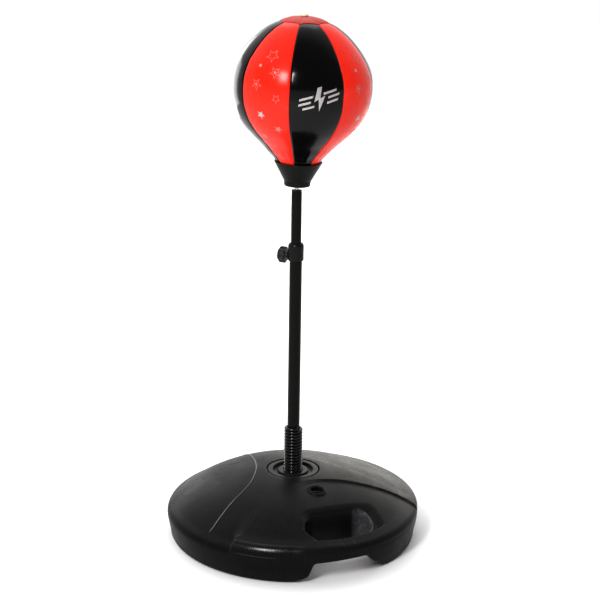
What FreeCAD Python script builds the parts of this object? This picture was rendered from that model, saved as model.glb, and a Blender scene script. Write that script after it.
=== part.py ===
"""Free-standing reflex punching ball: weighted floor tank, coil spring, telescoping pole, gored inflatable ball.

Units are millimetres, +Z is up, the origin is the centre of the tank's underside.
The front of the object, the side with the fill plug and the hand hole, faces -Y.
"""
import FreeCAD, Part
import math
import os

os.makedirs("parts", exist_ok=True)
V = FreeCAD.Vector
ZAX = V(0, 0, 1)
O = V(0, 0, 0)

# ---------------------------------------------------------------- driving dimensions
base_r = 200.6             # widest radius of the tank
base_foot_r = 195.0        # radius where the side meets the floor rounding
foot_round = 6.0           # rounding of the bottom edge
parting_z = 42.0           # height of the moulding's parting line
parting_groove = 0.7       # depth of the parting line
hub_top_z = 104.0          # top of the tank beside the hub
wall = 3.4                 # blow-moulded wall thickness
# tank top, (radius, height)
dome = [(42.0, 104.0), (61.0, 102.3), (81.0, 99.0), (100.0, 94.4), (120.0, 88.3), (140.0, 80.6),
        (160.0, 71.6), (178.0, 63.0), (189.0, 59.0), (195.5, 56.6)]
# top of the left blade, which falls away to a low edge
dome_low = [(42.0, 102.8), (61.0, 101.0), (81.0, 97.4), (100.0, 92.6), (120.0, 86.8), (140.0, 79.2),
            (160.0, 68.9), (175.0, 59.6), (186.0, 52.0), (194.0, 47.4)]
front_blade_drop = 2.0     # how far the front blade lies under the tank top
back_blade_drop = 1.4      # the same for the back right blade

hub_seat_r = 41.8          # recess for the hub ring
hub_seat_z = 98.0
plug_seat_r = 15.6         # pocket for the spring's lower plug
plug_seat_z = 92.0
column_r = 16.5            # column through the tank
stud_hole_r = 6.3
nut_pocket_r = 17.0        # pocket in the underside
nut_pocket_z = 16.0

handle_deg = 26.4          # direction of the hand hole, from -Y towards +X
hole_in = 127.0            # hand hole: inner straight edge, from the axis
hole_out_r = 175.5         # hand hole: outer arc radius
hole_left, hole_right = -48.0, 61.0
hole_corner = 15.0
# notch under the hand bar, (sideways, height)
notch = [(-63.0, -2.0), (-61.0, 6.0), (-57.5, 18.0), (-53.5, 26.0), (-46.0, 31.0), (-16.0, 32.5),
         (24.0, 31.6), (32.0, 29.0), (38.0, 23.5), (47.0, 14.5), (58.0, 8.0), (68.0, 3.0), (72.0, -2.0)]

plug_x, plug_y = 37.6, -72.0   # fill plug centre
plug_tilt_deg = 11.0           # the plug leans outwards with the tank top
plug_boss_r = 14.6
plug_hole_r = 9.8

wire_d = 4.6               # spring
spring_od = 29.5
spring_pitch = 5.15
spring_z0, spring_z1 = 96.0, 177.0

low_tube_r, low_tube_t = 9.525, 1.2    # 19.05 mm tube
low_tube_z0, low_tube_z1 = 170.0, 461.8
up_tube_r, up_tube_t = 7.95, 1.2       # 15.9 mm tube
up_tube_z0, up_tube_z1 = 270.0, 554.6
pole_top_z = 557.8

clamp_z0, clamp_z1 = 444.7, 463.8
clamp_r = 12.0
knob_z = 454.2
knob_dir_deg = 155.0       # direction the knob points, from +X
knob_r = 12.6
knob_lobes = 6
boss_end, knob_start, knob_end = 14.0, 16.4, 27.0
screw_r = 2.5             # M5 screw
knob_boss_r = 6.0

stud_r = 3.0
cup_z0, cup_z1 = 564.6, 602.0
cup_low_r, cup_top_r = 19.8, 36.1

# outside of the inflated ball, (radius, height)
ball = [(33.0, 593.0), (33.4, 598.0), (34.3, 602.6), (38.4, 609.5), (45.5, 617.5), (55.0, 628.0), (67.5, 640.5),
        (79.5, 653.0), (89.0, 665.0), (96.2, 677.5), (101.4, 690.0), (104.6, 703.0), (105.8, 717.0),
        (105.2, 730.0), (102.2, 743.5), (97.2, 756.0), (89.8, 768.5), (80.4, 780.5), (69.2, 791.5),
        (57.0, 800.3), (45.8, 806.3), (34.0, 811.0)]
ball_lean_deg = 1.9        # the soft ball leans this much on its neck, towards +X
lean_z = 590.0
panel_count = 8
panel_t = 1.1
first_panel_deg = -77.3    # centre of the front black panel, from +X
crown_r = 35.2
crown_z_edge, crown_z_top = 810.7, 816.4
crown_t = 1.2
valve_r = 6.0

# ---------------------------------------------------------------- helpers


def pt(r, z):
    return V(r, 0, z)


def face_from(edges):
    return Part.Face(Part.Wire(Part.__sortEdges__(edges)))


def lines(points, close=True):
    """Revolved solid from straight segments between (radius, height) points."""
    p = [pt(*q) for q in points]
    if close:
        p.append(p[0])
    return Part.Face(Part.makePolygon(p))


def turn(face):
    s = face.revolve(O, ZAX, 360)
    s = s.removeSplitter() if s.ShapeType != "Solid" else s
    return as_solid(s)


def as_solid(s):
    if s.ShapeType == "Solid":
        return s
    if s.Solids:
        return s.Solids[0] if len(s.Solids) == 1 else s
    return Part.Solid(s)


def spline(points):
    c = Part.BSplineCurve()
    c.interpolate([pt(*q) for q in points])
    return c.toShape()


def seg(a, b):
    return Part.makeLine(pt(*a), pt(*b))


def tube(r_out, r_in, z0, z1):
    return Part.makeCylinder(r_out, z1 - z0, V(0, 0, z0)).cut(Part.makeCylinder(r_in, z1 - z0 + 2, V(0, 0, z0 - 1)))


def cyl(r, z0, z1, x=0.0, y=0.0):
    return Part.makeCylinder(r, z1 - z0, V(x, y, z0))


def hexprism(across_flats, z0, z1):
    r = across_flats / math.sqrt(3)
    p = [V(r * math.cos(math.radians(60 * i)), r * math.sin(math.radians(60 * i)), z0) for i in range(7)]
    return Part.Face(Part.makePolygon(p)).extrude(V(0, 0, z1 - z0))


def lean(shape):
    """Lean a piece of the ball on its neck."""
    s = shape.copy()
    s.rotate(V(0, 0, lean_z), V(0, 1, 0), ball_lean_deg)
    return s


def export(shape, name):
    """One STEP file for one named piece."""
    if shape.ShapeType == "Compound" and len(shape.Solids) == 1:
        shape = shape.Solids[0]
    bb = shape.BoundBox
    print("%-24s solids %d valid %s vol %.1f  x %.1f..%.1f y %.1f..%.1f z %.1f..%.1f" % (
        name, len(shape.Solids), shape.isValid(), shape.Volume, bb.XMin, bb.XMax, bb.YMin, bb.YMax, bb.ZMin, bb.ZMax))
    shape.exportStep("parts/%s.step" % name)


# ---------------------------------------------------------------- tank


def tank_outside(top, edge_r, edge_z, down=0.0, top_z=None):
    """Solid of revolution with the given top curve, lowered by `down`."""
    t = [(r, z - down) for r, z in top]
    tz = (hub_top_z if top_z is None else top_z) - down
    side0 = (base_foot_r, foot_round)
    e = [seg((0, 0), (base_foot_r - foot_round, 0)),
         Part.Arc(pt(base_foot_r - foot_round, 0), pt(base_foot_r - foot_round * 0.29, foot_round * 0.29),
                  pt(*side0)).toShape(),
         seg(side0, (base_r, parting_z - 1.2)),
         seg((base_r, parting_z - 1.2), (base_r - parting_groove, parting_z)),
         seg((base_r - parting_groove, parting_z), (base_r, parting_z + 1.2)),
         ]
    # rounded shoulder from the side up to the top curve
    last = t[-1]
    e.append(Part.Arc(pt(base_r, parting_z + 1.2), pt(edge_r, edge_z), pt(*last)).toShape())
    e.append(spline(list(reversed(t))))
    e.append(seg(t[0], (0, tz)))
    e.append(seg((0, tz), (0, 0)))
    return turn(face_from(e))


def region(points, z0=20.0, z1=130.0):
    """Vertical prism over a smooth boundary drawn through plan points, closed round the outside."""
    inner, outer = points
    c = Part.BSplineCurve()
    c.interpolate([V(x, y, z0) for x, y in inner])
    edges = [c.toShape()]
    o = [V(inner[-1][0], inner[-1][1], z0)] + [V(x, y, z0) for x, y in outer] + [V(inner[0][0], inner[0][1], z0)]
    for a, b in zip(o[:-1], o[1:]):
        edges.append(Part.makeLine(a, b))
    return Part.Face(Part.Wire(Part.__sortEdges__(edges))).extrude(V(0, 0, z1 - z0))


front_edge = [(-98.0, -190.0), (-84.4, -159.8), (-76.1, -148.0), (-64.2, -130.2), (-52.0, -115.6), (-37.2, -97.4),
              (-19.4, -80.6), (1.0, -64.9), (19.2, -54.2), (40.2, -45.0), (66.7, -36.0), (93.4, -29.5),
              (120.1, -24.5), (147.0, -20.0), (174.5, -14.0), (215.0, -1.0)]
front_round = [(260.0, -60.0), (200.0, -230.0), (0.0, -280.0), (-110.0, -240.0)]
left_edge = [(-141.0, -150.0), (-127.3, -133.0), (-119.5, -122.5), (-111.5, -113.5), (-103.5, -103.5),
             (-91.7, -88.5), (-77.9, -70.0), (-66.2, -47.0), (-60.7, -22.0), (-58.6, 6.0), (-61.5, 35.0),
             (-66.5, 62.0), (-72.5, 88.0), (-79.3, 110.0), (-90.0, 145.0), (-106.0, 200.0)]
left_round = [(-180.0, 250.0), (-270.0, 60.0), (-250.0, -90.0)]


def spun(points, deg):
    c, s = math.cos(math.radians(deg)), math.sin(math.radians(deg))
    return [(c * x - s * y, s * x + c * y) for x, y in points]


def handle_frame(shape):
    """Put a shape drawn with its outward direction along -Y round to the hand hole's direction."""
    s = shape.copy()
    s.rotate(O, ZAX, handle_deg)
    return s


def hole_prism(grow, z0, z1):
    """Hand hole: straight inner edge, rounded outer edge, rounded corners."""
    y_in = -(hole_in - grow)
    box = Part.makeBox(hole_right - hole_left + 2 * grow, 90, z1 - z0, V(hole_left - grow, y_in - 90, z0))
    s = box.common(cyl(hole_out_r + grow, z0, z1))
    vertical = [e for e in s.Edges if len(e.Vertexes) == 2
                and abs(e.Vertexes[0].Point.x - e.Vertexes[1].Point.x) < 1e-6
                and abs(e.Vertexes[0].Point.y - e.Vertexes[1].Point.y) < 1e-6]
    s = s.makeFillet(hole_corner + grow, vertical)
    return handle_frame(s)


def notch_prism(grow, y0, y1):
    pts = []
    for x, z in notch:
        pts.append(V(x + (-grow if x < -30 else grow if x > 28 else 0), y0, z + (grow if z > 0 else 0)))
    pts.append(pts[0])
    return handle_frame(Part.Face(Part.makePolygon(pts)).extrude(V(0, y1 - y0, 0)))


shell_out = tank_outside(dome, 199.2, 50.5)
low_out = tank_outside(dome_low, 198.4, 45.6, top_z=102.8)
front_out = tank_outside(dome, 199.2, 50.5, down=front_blade_drop)
back_out = tank_outside(dome, 199.2, 50.5, down=back_blade_drop)

shell = shell_out
shell = shell.cut(region((left_edge, left_round), z0=parting_z + 1.4).cut(low_out))
shell = shell.cut(region((front_edge, front_round), z0=parting_z + 1.4).cut(front_out))
shell = shell.cut(region((spun(front_edge, 117.0), spun(front_round, 117.0)), z0=parting_z + 1.4).cut(back_out))
shell = as_solid(shell)

# raised ring round the fill hole
plug_place = FreeCAD.Placement(V(plug_x, plug_y, 96.6), FreeCAD.Rotation(V(-plug_y, plug_x, 0), 0))
out_dir = V(plug_x, plug_y, 0)
out_dir.normalize()
tilt_axis = V(-out_dir.y, out_dir.x, 0)


def at_plug(shape):
    """Place a shape drawn on the origin, +Z out of the hole, on the tank top."""
    s = shape.copy()
    s.rotate(O, tilt_axis, plug_tilt_deg)
    s.translate(V(plug_x, plug_y, 96.3))
    return s


boss = cyl(plug_boss_r, -9.0, 2.4)
boss = boss.makeChamfer(0.9, [e for e in boss.Edges if e.BoundBox.ZMin > 2.3])
boss = at_plug(boss)
plug_bore = at_plug(cyl(plug_hole_r, -16.0, 10.0))
plug_recess = at_plug(cyl(plug_hole_r + 1.6, 0.4, 10.0))

# tank inside
inner_top = [(r if r < 180 else r - 2.2, z - wall - 1.6) for r, z in dome_low if r >= 61.0]
cav_e = [seg((column_r, wall + 0.2), (base_foot_r - 8.0, wall + 0.2)),
         seg((base_foot_r - 8.0, wall + 0.2), (base_foot_r - wall, 11.0)),
         seg((base_foot_r - wall, 11.0), (base_r - wall - 0.8, parting_z - 2.0)),
         seg((base_r - wall - 0.8, parting_z - 2.0), inner_top[-1]),
         spline(list(reversed(inner_top))),
         seg(inner_top[0], (hub_seat_r + 6.0, hub_seat_z - wall - 1.0)),
         seg((hub_seat_r + 6.0, hub_seat_z - wall - 1.0), (column_r + 4.0, hub_seat_z - wall - 1.0)),
         seg((column_r + 4.0, hub_seat_z - wall - 1.0), (column_r + 4.0, plug_seat_z - wall)),
         seg((column_r + 4.0, plug_seat_z - wall), (column_r - 4.0, plug_seat_z - wall - 4.0)),
         seg((column_r - 4.0, plug_seat_z - wall - 4.0), (column_r - 4.0, nut_pocket_z + wall + 4.0)),
         seg((column_r - 4.0, nut_pocket_z + wall + 4.0), (nut_pocket_r + wall, nut_pocket_z + wall)),
         seg((nut_pocket_r + wall, nut_pocket_z + wall), (nut_pocket_r + wall, wall + 0.2)),
         seg((nut_pocket_r + wall, wall + 0.2), (column_r, wall + 0.2))]
# the column profile starts at the nut pocket's wall
cav_e = cav_e[:-1]
cav_e[0] = seg((nut_pocket_r + wall, wall + 0.2), (base_foot_r - 8.0, wall + 0.2))
cavity = turn(face_from(cav_e))
cavity = cavity.cut(hole_prism(wall, -5, 120))
cavity = cavity.cut(notch_prism(wall, -210.0, -(hole_in - wall)))
cavity = cavity.cut(at_plug(cyl(plug_boss_r + 1.0, -9.0, 6.0)))
cavity = as_solid(cavity)

hole = hole_prism(0.0, -10, 130)
notch_cut = notch_prism(0.0, -215.0, -hole_in)
shell = shell.fuse(boss)
shell = shell.cut(hole)
shell = shell.cut(notch_cut)
shell = shell.cut(cavity)
shell = shell.cut(plug_bore).cut(plug_recess)
shell = shell.cut(cyl(hub_seat_r, hub_seat_z, 120))
shell = shell.cut(cyl(plug_seat_r, plug_seat_z, 120))
shell = shell.cut(cyl(stud_hole_r, -1, 120))
shell = shell.cut(cyl(nut_pocket_r, -1, nut_pocket_z))
shell = as_solid(shell)
try:
    rim = []
    for e in shell.Edges:
        m = e.valueAt((e.FirstParameter + e.LastParameter) / 2)
        rr = math.hypot(m.x, m.y)
        if m.z > 52 and hole.distToShape(Part.Vertex(m))[0] < 1e-4 and rr < hole_out_r + 1:
            rim.append(e)
    rounded = shell.makeFillet(3.0, rim)
    if rounded.isValid() and rounded.Solids:
        shell = as_solid(rounded)
        print("hand hole rim rounded")
except Exception as err:
    print("hand hole rim left sharp:", err)
export(shell, "base_shell")

# sand that weighs the tank down, level at about half depth, a little clear of the walls
sand_gap = 0.15
slim_e = [seg((nut_pocket_r + wall + sand_gap, wall + 0.2 + sand_gap), (base_foot_r - 8.3, wall + 0.2 + sand_gap)),
          seg((base_foot_r - 8.3, wall + 0.2 + sand_gap), (base_foot_r - wall - 0.35, 11.2)),
          seg((base_foot_r - wall - 0.35, 11.2), (base_foot_r - wall + 1.2, 30.0)),
          seg((base_foot_r - wall + 1.2, 30.0), (nut_pocket_r + wall + sand_gap, 30.0)),
          seg((nut_pocket_r + wall + sand_gap, 30.0), (nut_pocket_r + wall + sand_gap, wall + 0.2 + sand_gap))]
sand = turn(face_from(slim_e))
sand = sand.cut(hole_prism(wall + sand_gap, -5, 120)).cut(notch_prism(wall + sand_gap + 0.3, -215.0, -(hole_in - wall - sand_gap)))
sand_solids = sorted(sand.Solids, key=lambda s: -s.Volume)
export(sand_solids[0], "sand_ballast")

# fill plug: a stopper with a finger recess, and its sealing ring
stopper = cyl(plug_hole_r + 1.3, 0.5, 2.2).fuse(cyl(plug_hole_r - 0.25, -12.0, 0.5))
stopper = stopper.cut(cyl(plug_hole_r - 1.9, -5.2, 5.0))
stopper = stopper.cut(tube(plug_hole_r + 1.0, plug_hole_r - 1.65, -8.8, -7.0))
grip = Part.makeBox(2 * (plug_hole_r - 2.2), 2.4, 4.2, V(-(plug_hole_r - 2.2), -1.2, -5.4))
stopper = stopper.fuse(grip).removeSplitter()
export(at_plug(as_solid(stopper)), "fill_plug")
ring = Part.makeTorus(plug_hole_r - 0.83, 0.8, V(0, 0, -7.9))
export(at_plug(ring), "fill_plug_seal")

# ---------------------------------------------------------------- hub
hub = turn(lines([(15.4, 98.0), (41.3, 98.0), (41.3, 103.2), (40.7, 103.8), (32.6, 103.8), (31.6, 102.6),
                  (30.6, 100.6), (25.0, 100.6), (24.0, 101.4), (23.0, 102.4), (16.4, 102.4), (15.4, 101.6)]))
export(hub, "hub_ring")

lower_plug = cyl(15.0, plug_seat_z, 96.0).fuse(cyl(10.05, 96.0, 104.0)).fuse(cyl(6.0, 4.0, plug_seat_z)).removeSplitter()
lower_plug = as_solid(lower_plug)
lower_plug = lower_plug.makeChamfer(0.8, [e for e in lower_plug.Edges if e.BoundBox.ZMin > 103.9 or e.BoundBox.ZMax < 4.1])
export(as_solid(lower_plug), "spring_lower_plug")
export(tube(15.5, 6.2, nut_pocket_z - 2.0, nut_pocket_z), "base_washer")
nut = hexprism(18.0, 4.6, nut_pocket_z - 2.0).cut(cyl(6.02, 0, 30))
nut = nut.common(turn(lines([(0, 4.6), (9.2, 4.6), (10.6, 5.6), (10.6, 13.0), (9.2, 14.0), (0, 14.0)])))
export(as_solid(nut), "base_nut")

# ---------------------------------------------------------------- spring
coil_r = (spring_od - wire_d) / 2
height = spring_z1 - spring_z0 - wire_d
helix = Part.makeHelix(spring_pitch, height, coil_r)
helix.translate(V(0, 0, spring_z0 + wire_d / 2))
start = helix.Edges[0].valueAt(helix.Edges[0].FirstParameter)
tangent = helix.Edges[0].tangentAt(helix.Edges[0].FirstParameter)
wire_c = Part.Wire(Part.makeCircle(wire_d / 2, start, tangent))
pipe = Part.Wire(helix.Edges).makePipeShell([wire_c], True, True)
spring = as_solid(pipe)
if spring.Volume < 0:
    spring = Part.Solid(Part.Shell(pipe.Faces).reversed())
# the coil's ends are ground level with its seats
spring = spring.common(cyl(40, spring_z0 + 0.02, spring_z1))
export(as_solid(spring), "coil_spring")

upper_plug = cyl(10.05, 165.0, low_tube_z0).fuse(cyl(8.26, low_tube_z0, 180.0)).removeSplitter()
upper_plug = as_solid(upper_plug)
upper_plug = upper_plug.makeChamfer(0.8, [e for e in upper_plug.Edges if e.BoundBox.ZMin > 179.9 or e.BoundBox.ZMax < 165.1])
export(as_solid(upper_plug), "spring_upper_plug")

# ---------------------------------------------------------------- pole
kd = V(math.cos(math.radians(knob_dir_deg)), math.sin(math.radians(knob_dir_deg)), 0)


def at_knob(shape):
    """Place a shape drawn with its axis on +Z, starting at the pole's axis, along the knob's direction."""
    s = shape.copy()
    s.rotate(O, V(0, 1, 0), 90)
    s.rotate(O, ZAX, knob_dir_deg)
    s.translate(V(0, 0, knob_z))
    return s


lower = tube(low_tube_r, low_tube_r - low_tube_t, low_tube_z0, low_tube_z1)
lower = lower.cut(at_knob(cyl(3.2, 0, 15)))
export(as_solid(lower), "lower_tube")

collar = turn(lines([(low_tube_r + 0.05, clamp_z0), (clamp_r - 0.8, clamp_z0), (clamp_r, clamp_z0 + 0.9),
                     (clamp_r, clamp_z1 - 2.4), (clamp_r - 0.8, clamp_z1 - 0.9), (clamp_r - 2.2, clamp_z1),
                     (up_tube_r + 0.08, clamp_z1), (up_tube_r + 0.08, low_tube_z1 + 0.05),
                     (low_tube_r + 0.05, low_tube_z1 + 0.05)]))
boss_k = cyl(knob_boss_r, 4.0, boss_end)
boss_k = boss_k.makeFillet(1.0, [e for e in boss_k.Edges if e.BoundBox.ZMin > boss_end - 0.1])
collar = collar.fuse(at_knob(boss_k))
collar = collar.cut(cyl(low_tube_r + 0.05, clamp_z0 - 5, low_tube_z1 + 0.05))
collar = collar.cut(cyl(up_tube_r + 0.08, clamp_z0 - 5, clamp_z1 + 5))
collar = collar.cut(at_knob(cyl(3.2, 5, 20)))
collar = collar.cut(at_knob(hexprism(8.0, 10.6, 13.2)))
export(as_solid(collar.removeSplitter()), "clamp_collar")
export(at_knob(hexprism(7.96, 10.62, 13.18).cut(cyl(screw_r + 0.03, 0, 40))), "clamp_nut")

shoe = at_knob(cyl(3.0, 6.0, 9.6)).cut(cyl(up_tube_r + 0.02, 400, 500))
shoe = sorted(shoe.Solids, key=lambda s: -s.Volume)[0]
export(shoe, "clamp_shoe")
screw = cyl(screw_r, 9.62, 24.0)
screw = screw.makeChamfer(0.5, [e for e in screw.Edges if e.BoundBox.ZMax < 9.7])
export(at_knob(as_solid(screw)), "knob_screw")

knob = cyl(knob_r - 1.6, knob_start, knob_end)
for i in range(knob_lobes):
    a = math.radians(360.0 / knob_lobes * i + 12)
    knob = knob.fuse(cyl(3.4, knob_start, knob_end, (knob_r - 3.4) * math.cos(a), (knob_r - 3.4) * math.sin(a)))
for i in range(knob_lobes):
    a = math.radians(360.0 / knob_lobes * (i + 0.5) + 12)
    knob = knob.cut(cyl(2.9, knob_start - 1, knob_end + 1, (knob_r + 0.3) * math.cos(a), (knob_r + 0.3) * math.sin(a)))
crown_k = turn(lines([(0, knob_start), (knob_r - 1.2, knob_start), (knob_r + 1, knob_start + 1.4),
                      (knob_r + 1, knob_end - 2.2), (knob_r - 1.8, knob_end), (0, knob_end)]))
knob = knob.common(crown_k).removeSplitter()
knob = knob.cut(cyl(screw_r, 0, 24.0))
export(at_knob(as_solid(knob)), "lock_knob")

export(tube(up_tube_r, up_tube_r - up_tube_t, up_tube_z0, up_tube_z1), "upper_tube")
glide = cyl(low_tube_r - low_tube_t - 0.055, up_tube_z0 - 6.0, up_tube_z0).fuse(
    cyl(up_tube_r - up_tube_t - 0.03, up_tube_z0, up_tube_z0 + 14.0)).cut(cyl(4.2, 200, 300)).removeSplitter()
export(as_solid(glide), "tube_glide")
top_plug = turn(lines([(stud_r, 536.0), (up_tube_r - up_tube_t - 0.03, 536.0), (up_tube_r - up_tube_t - 0.03, up_tube_z1),
                       (up_tube_r - 0.6, up_tube_z1), (up_tube_r - 0.6, up_tube_z1 + 0.5), (up_tube_r, up_tube_z1 + 0.8),
                       (up_tube_r, pole_top_z - 0.5), (up_tube_r - 0.5, pole_top_z), (stud_r, pole_top_z)]))
export(top_plug, "tube_top_plug")
ball_stud = cyl(stud_r, 542.0, 578.0)
ball_stud = ball_stud.makeChamfer(0.5, [e for e in ball_stud.Edges if e.BoundBox.ZMin > 577.9 or e.BoundBox.ZMax < 542.1])
export(as_solid(ball_stud), "ball_stud")

# ---------------------------------------------------------------- cup under the ball
cup = turn(lines([(stud_r + 0.4, cup_z0), (cup_low_r - 0.6, cup_z0), (cup_low_r, cup_z0 + 0.6), (cup_low_r, cup_z0 + 6.6),
                  (cup_top_r - 0.2, cup_z1 - 0.8), (cup_top_r, cup_z1 - 0.3), (cup_top_r - 0.3, cup_z1),
                  (cup_top_r - 0.8, cup_z1), (cup_top_r - 1.5, cup_z1 - 4.0), (cup_top_r - 1.5, cup_z1 - 9.2),
                  (cup_top_r - 6.2, cup_z1 - 14.4), (cup_low_r - 1.8, cup_z0 + 8.6), (cup_low_r - 3.0, cup_z0 + 3.0),
                  (9.0, cup_z0 + 3.0), (9.0, cup_z0 + 16.0), (stud_r + 0.4, cup_z0 + 16.0)]))
insert_z0, insert_z1 = cup_z0 + 2.0, cup_z0 + 15.4
cup = cup.cut(cyl(5.5, insert_z0, cup_z0 + 17.0))
export(as_solid(cup), "ball_cup")
insert = tube(5.46, stud_r + 0.04, insert_z0 + 0.02, insert_z1)
export(insert, "cup_thread_insert")
# flange that holds the ball's neck down in the cup, seated on the cup's middle boss
flange_z = cup_z1 - 9.2
flange = turn(lines([(4.0, cup_z0 + 16.0), (11.0, cup_z0 + 16.0), (12.5, flange_z - 4.4), (29.6, flange_z - 2.9),
                     (31.3, flange_z - 0.6), (31.3, flange_z + 3.2), (28.0, flange_z + 6.0), (9.6, flange_z + 6.0),
                     (9.6, flange_z - 6.0), (4.0, flange_z - 6.0)]))
export(flange, "ball_neck_flange")

# ---------------------------------------------------------------- ball
outer_c = spline(ball)


def inward(points, d):
    """Offset a (radius, height) curve towards the axis side."""
    out = []
    n = len(points)
    for i, (r, z) in enumerate(points):
        a, b = points[max(i - 1, 0)], points[min(i + 1, n - 1)]
        tr, tz = b[0] - a[0], b[1] - a[1]
        L = math.hypot(tr, tz)
        out.append((r - d * tz / L, z + d * tr / L))
    return out


inner_pts = inward(ball, panel_t)
ring_face = face_from([spline(ball), seg(ball[-1], inner_pts[-1]), spline(inner_pts), seg(inner_pts[0], ball[0])])
step = 360.0 / panel_count
for i in range(panel_count):
    mid = first_panel_deg + step * i
    f = ring_face.copy()
    f.rotate(O, ZAX, mid - step / 2 + 0.02)
    panel = as_solid(f.revolve(O, ZAX, step - 0.04))
    export(lean(panel), "ball_panel_%d_%s" % (i + 1, "black" if i % 2 == 0 else "red"))

# crown disc over the panels' tips, with the valve in its middle
cr0, cr1 = (valve_r - 1.2, crown_z_top), (crown_r, crown_z_edge)


def cap_z(r, lift=0.0):
    return crown_z_top - (crown_z_top - crown_z_edge) * (r / crown_r) ** 2 + lift


top_pts = [(r, cap_z(r, 1.25)) for r in (valve_r - 1.2, 12.0, 20.0, 28.0, crown_r)]
bot_pts = [(r, cap_z(r, 0.10)) for r in (valve_r - 1.2, 12.0, 20.0, 28.0, crown_r)]
crown = turn(face_from([spline(top_pts), seg(top_pts[-1], bot_pts[-1]), spline(list(reversed(bot_pts))),
                        seg(bot_pts[0], top_pts[0])]))
for i in (0,):
    tips = turn(face_from([spline(ball), seg(ball[-1], (0, ball[-1][1])), seg((0, ball[-1][1]), (0, ball[0][1])),
                           seg((0, ball[0][1]), ball[0])]))
crown = as_solid(crown.cut(tips))
export(lean(crown), "crown_patch")

# bladder: closed rubber skin just inside the panels, with a hole for the valve
blad = inward(ball, panel_t + 0.25)
blad = [(min(r, 30.0), max(z, flange_z + 6.4)) if z < 600 else (r, z) for r, z in blad]
blad = [p for p in blad if p[1] > 603.0]
top_o = [(valve_r - 1.15 + 0.1, cap_z(5, -0.35)), (12.0, cap_z(12.0, -0.45)), (22.0, cap_z(22.0, -0.8))]
b_out = [(2.0, flange_z + 7.6), (20.0, flange_z + 7.8), (29.0, flange_z + 10.2)] + blad[1:-1] + [(31.0, blad[-1][1] - 0.2)] + list(reversed(top_o))
b_in = inward(b_out, 0.8)
b_in[0] = (2.0, b_out[0][1] + 0.8)
b_in[-1] = (b_out[-1][0], b_out[-1][1] - 0.8)
blad_face = face_from([spline(b_out), seg(b_out[-1], b_in[-1]), spline(b_in), seg(b_in[0], b_out[0])])
bladder = turn(blad_face)
bladder = bladder.fuse(cyl(2.4, b_out[0][1], b_out[0][1] + 0.8)).removeSplitter()
export(lean(as_solid(bladder)), "bladder")

# valve and its cap
valve = turn(lines([(2.1, 804.0), (3.8, 804.0), (4.2, 805.0), (4.2, crown_z_top - 1.2), (4.7, crown_z_top - 0.9), (4.7, 817.5),
                    (2.1, 817.5)]))
export(lean(valve), "valve_body")
cap = turn(lines([(0, 808.0), (1.6, 808.0), (2.05, 809.0), (2.05, 817.9), (valve_r, 817.9), (valve_r, 819.3), (valve_r - 1.0, 820.6),
                  (1.4, 820.8), (0, 820.2)]))
export(lean(cap), "valve_plug")
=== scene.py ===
import bpy, math
import numpy as np
from mathutils import Vector, Matrix


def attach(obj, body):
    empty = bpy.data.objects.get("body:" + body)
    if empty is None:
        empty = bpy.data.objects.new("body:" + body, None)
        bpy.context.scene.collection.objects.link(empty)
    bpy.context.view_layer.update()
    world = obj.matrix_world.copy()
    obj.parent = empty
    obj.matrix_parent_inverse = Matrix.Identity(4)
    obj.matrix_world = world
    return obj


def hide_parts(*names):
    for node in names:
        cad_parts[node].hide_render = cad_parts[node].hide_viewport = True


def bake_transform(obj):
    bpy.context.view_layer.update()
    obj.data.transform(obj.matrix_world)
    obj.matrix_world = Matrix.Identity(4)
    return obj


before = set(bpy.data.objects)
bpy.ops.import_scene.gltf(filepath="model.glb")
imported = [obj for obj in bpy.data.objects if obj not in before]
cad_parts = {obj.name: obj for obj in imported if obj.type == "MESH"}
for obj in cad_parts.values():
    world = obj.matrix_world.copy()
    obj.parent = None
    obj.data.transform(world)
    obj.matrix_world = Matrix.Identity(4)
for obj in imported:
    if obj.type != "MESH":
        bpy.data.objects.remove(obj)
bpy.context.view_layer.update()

scene = bpy.context.scene
MM = 0.001


# ------------------------------------------------------------------ materials
def new_mat(name):
    m = bpy.data.materials.new(name)
    m.use_nodes = True
    nt = m.node_tree
    return m, nt, nt.nodes, nt.links, nt.nodes["Principled BSDF"]


def ncoord(nt):
    tc = nt.nodes.new("ShaderNodeTexCoord")
    return tc.outputs["Object"]


def noise(nt, scale, detail=4.0, rough=0.55, vec=None, dist=0.0):
    n = nt.nodes.new("ShaderNodeTexNoise")
    n.inputs["Scale"].default_value = scale
    n.inputs["Detail"].default_value = detail
    n.inputs["Roughness"].default_value = rough
    n.inputs["Distortion"].default_value = dist
    nt.links.new(vec if vec is not None else ncoord(nt), n.inputs["Vector"])
    return n.outputs["Fac"]


def ramp(nt, fac, stops):
    r = nt.nodes.new("ShaderNodeValToRGB")
    nt.links.new(fac, r.inputs["Fac"])
    e = r.color_ramp.elements
    while len(e) < len(stops):
        e.new(0.5)
    for el, (p, c) in zip(e, stops):
        el.position = p
        el.color = c if len(c) == 4 else (*c, 1)
    return r.outputs["Color"]


def remap(nt, fac, a, b, lo=0.0, hi=1.0):
    m = nt.nodes.new("ShaderNodeMapRange")
    m.inputs["From Min"].default_value = lo
    m.inputs["From Max"].default_value = hi
    m.inputs["To Min"].default_value = a
    m.inputs["To Max"].default_value = b
    nt.links.new(fac, m.inputs["Value"])
    return m.outputs["Result"]


def math_node(nt, op, a, b=None):
    m = nt.nodes.new("ShaderNodeMath")
    m.operation = op
    for i, v in enumerate((a, b)):
        if v is None:
            continue
        if isinstance(v, (int, float)):
            m.inputs[i].default_value = v
        else:
            nt.links.new(v, m.inputs[i])
    return m.outputs[0]


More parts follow.
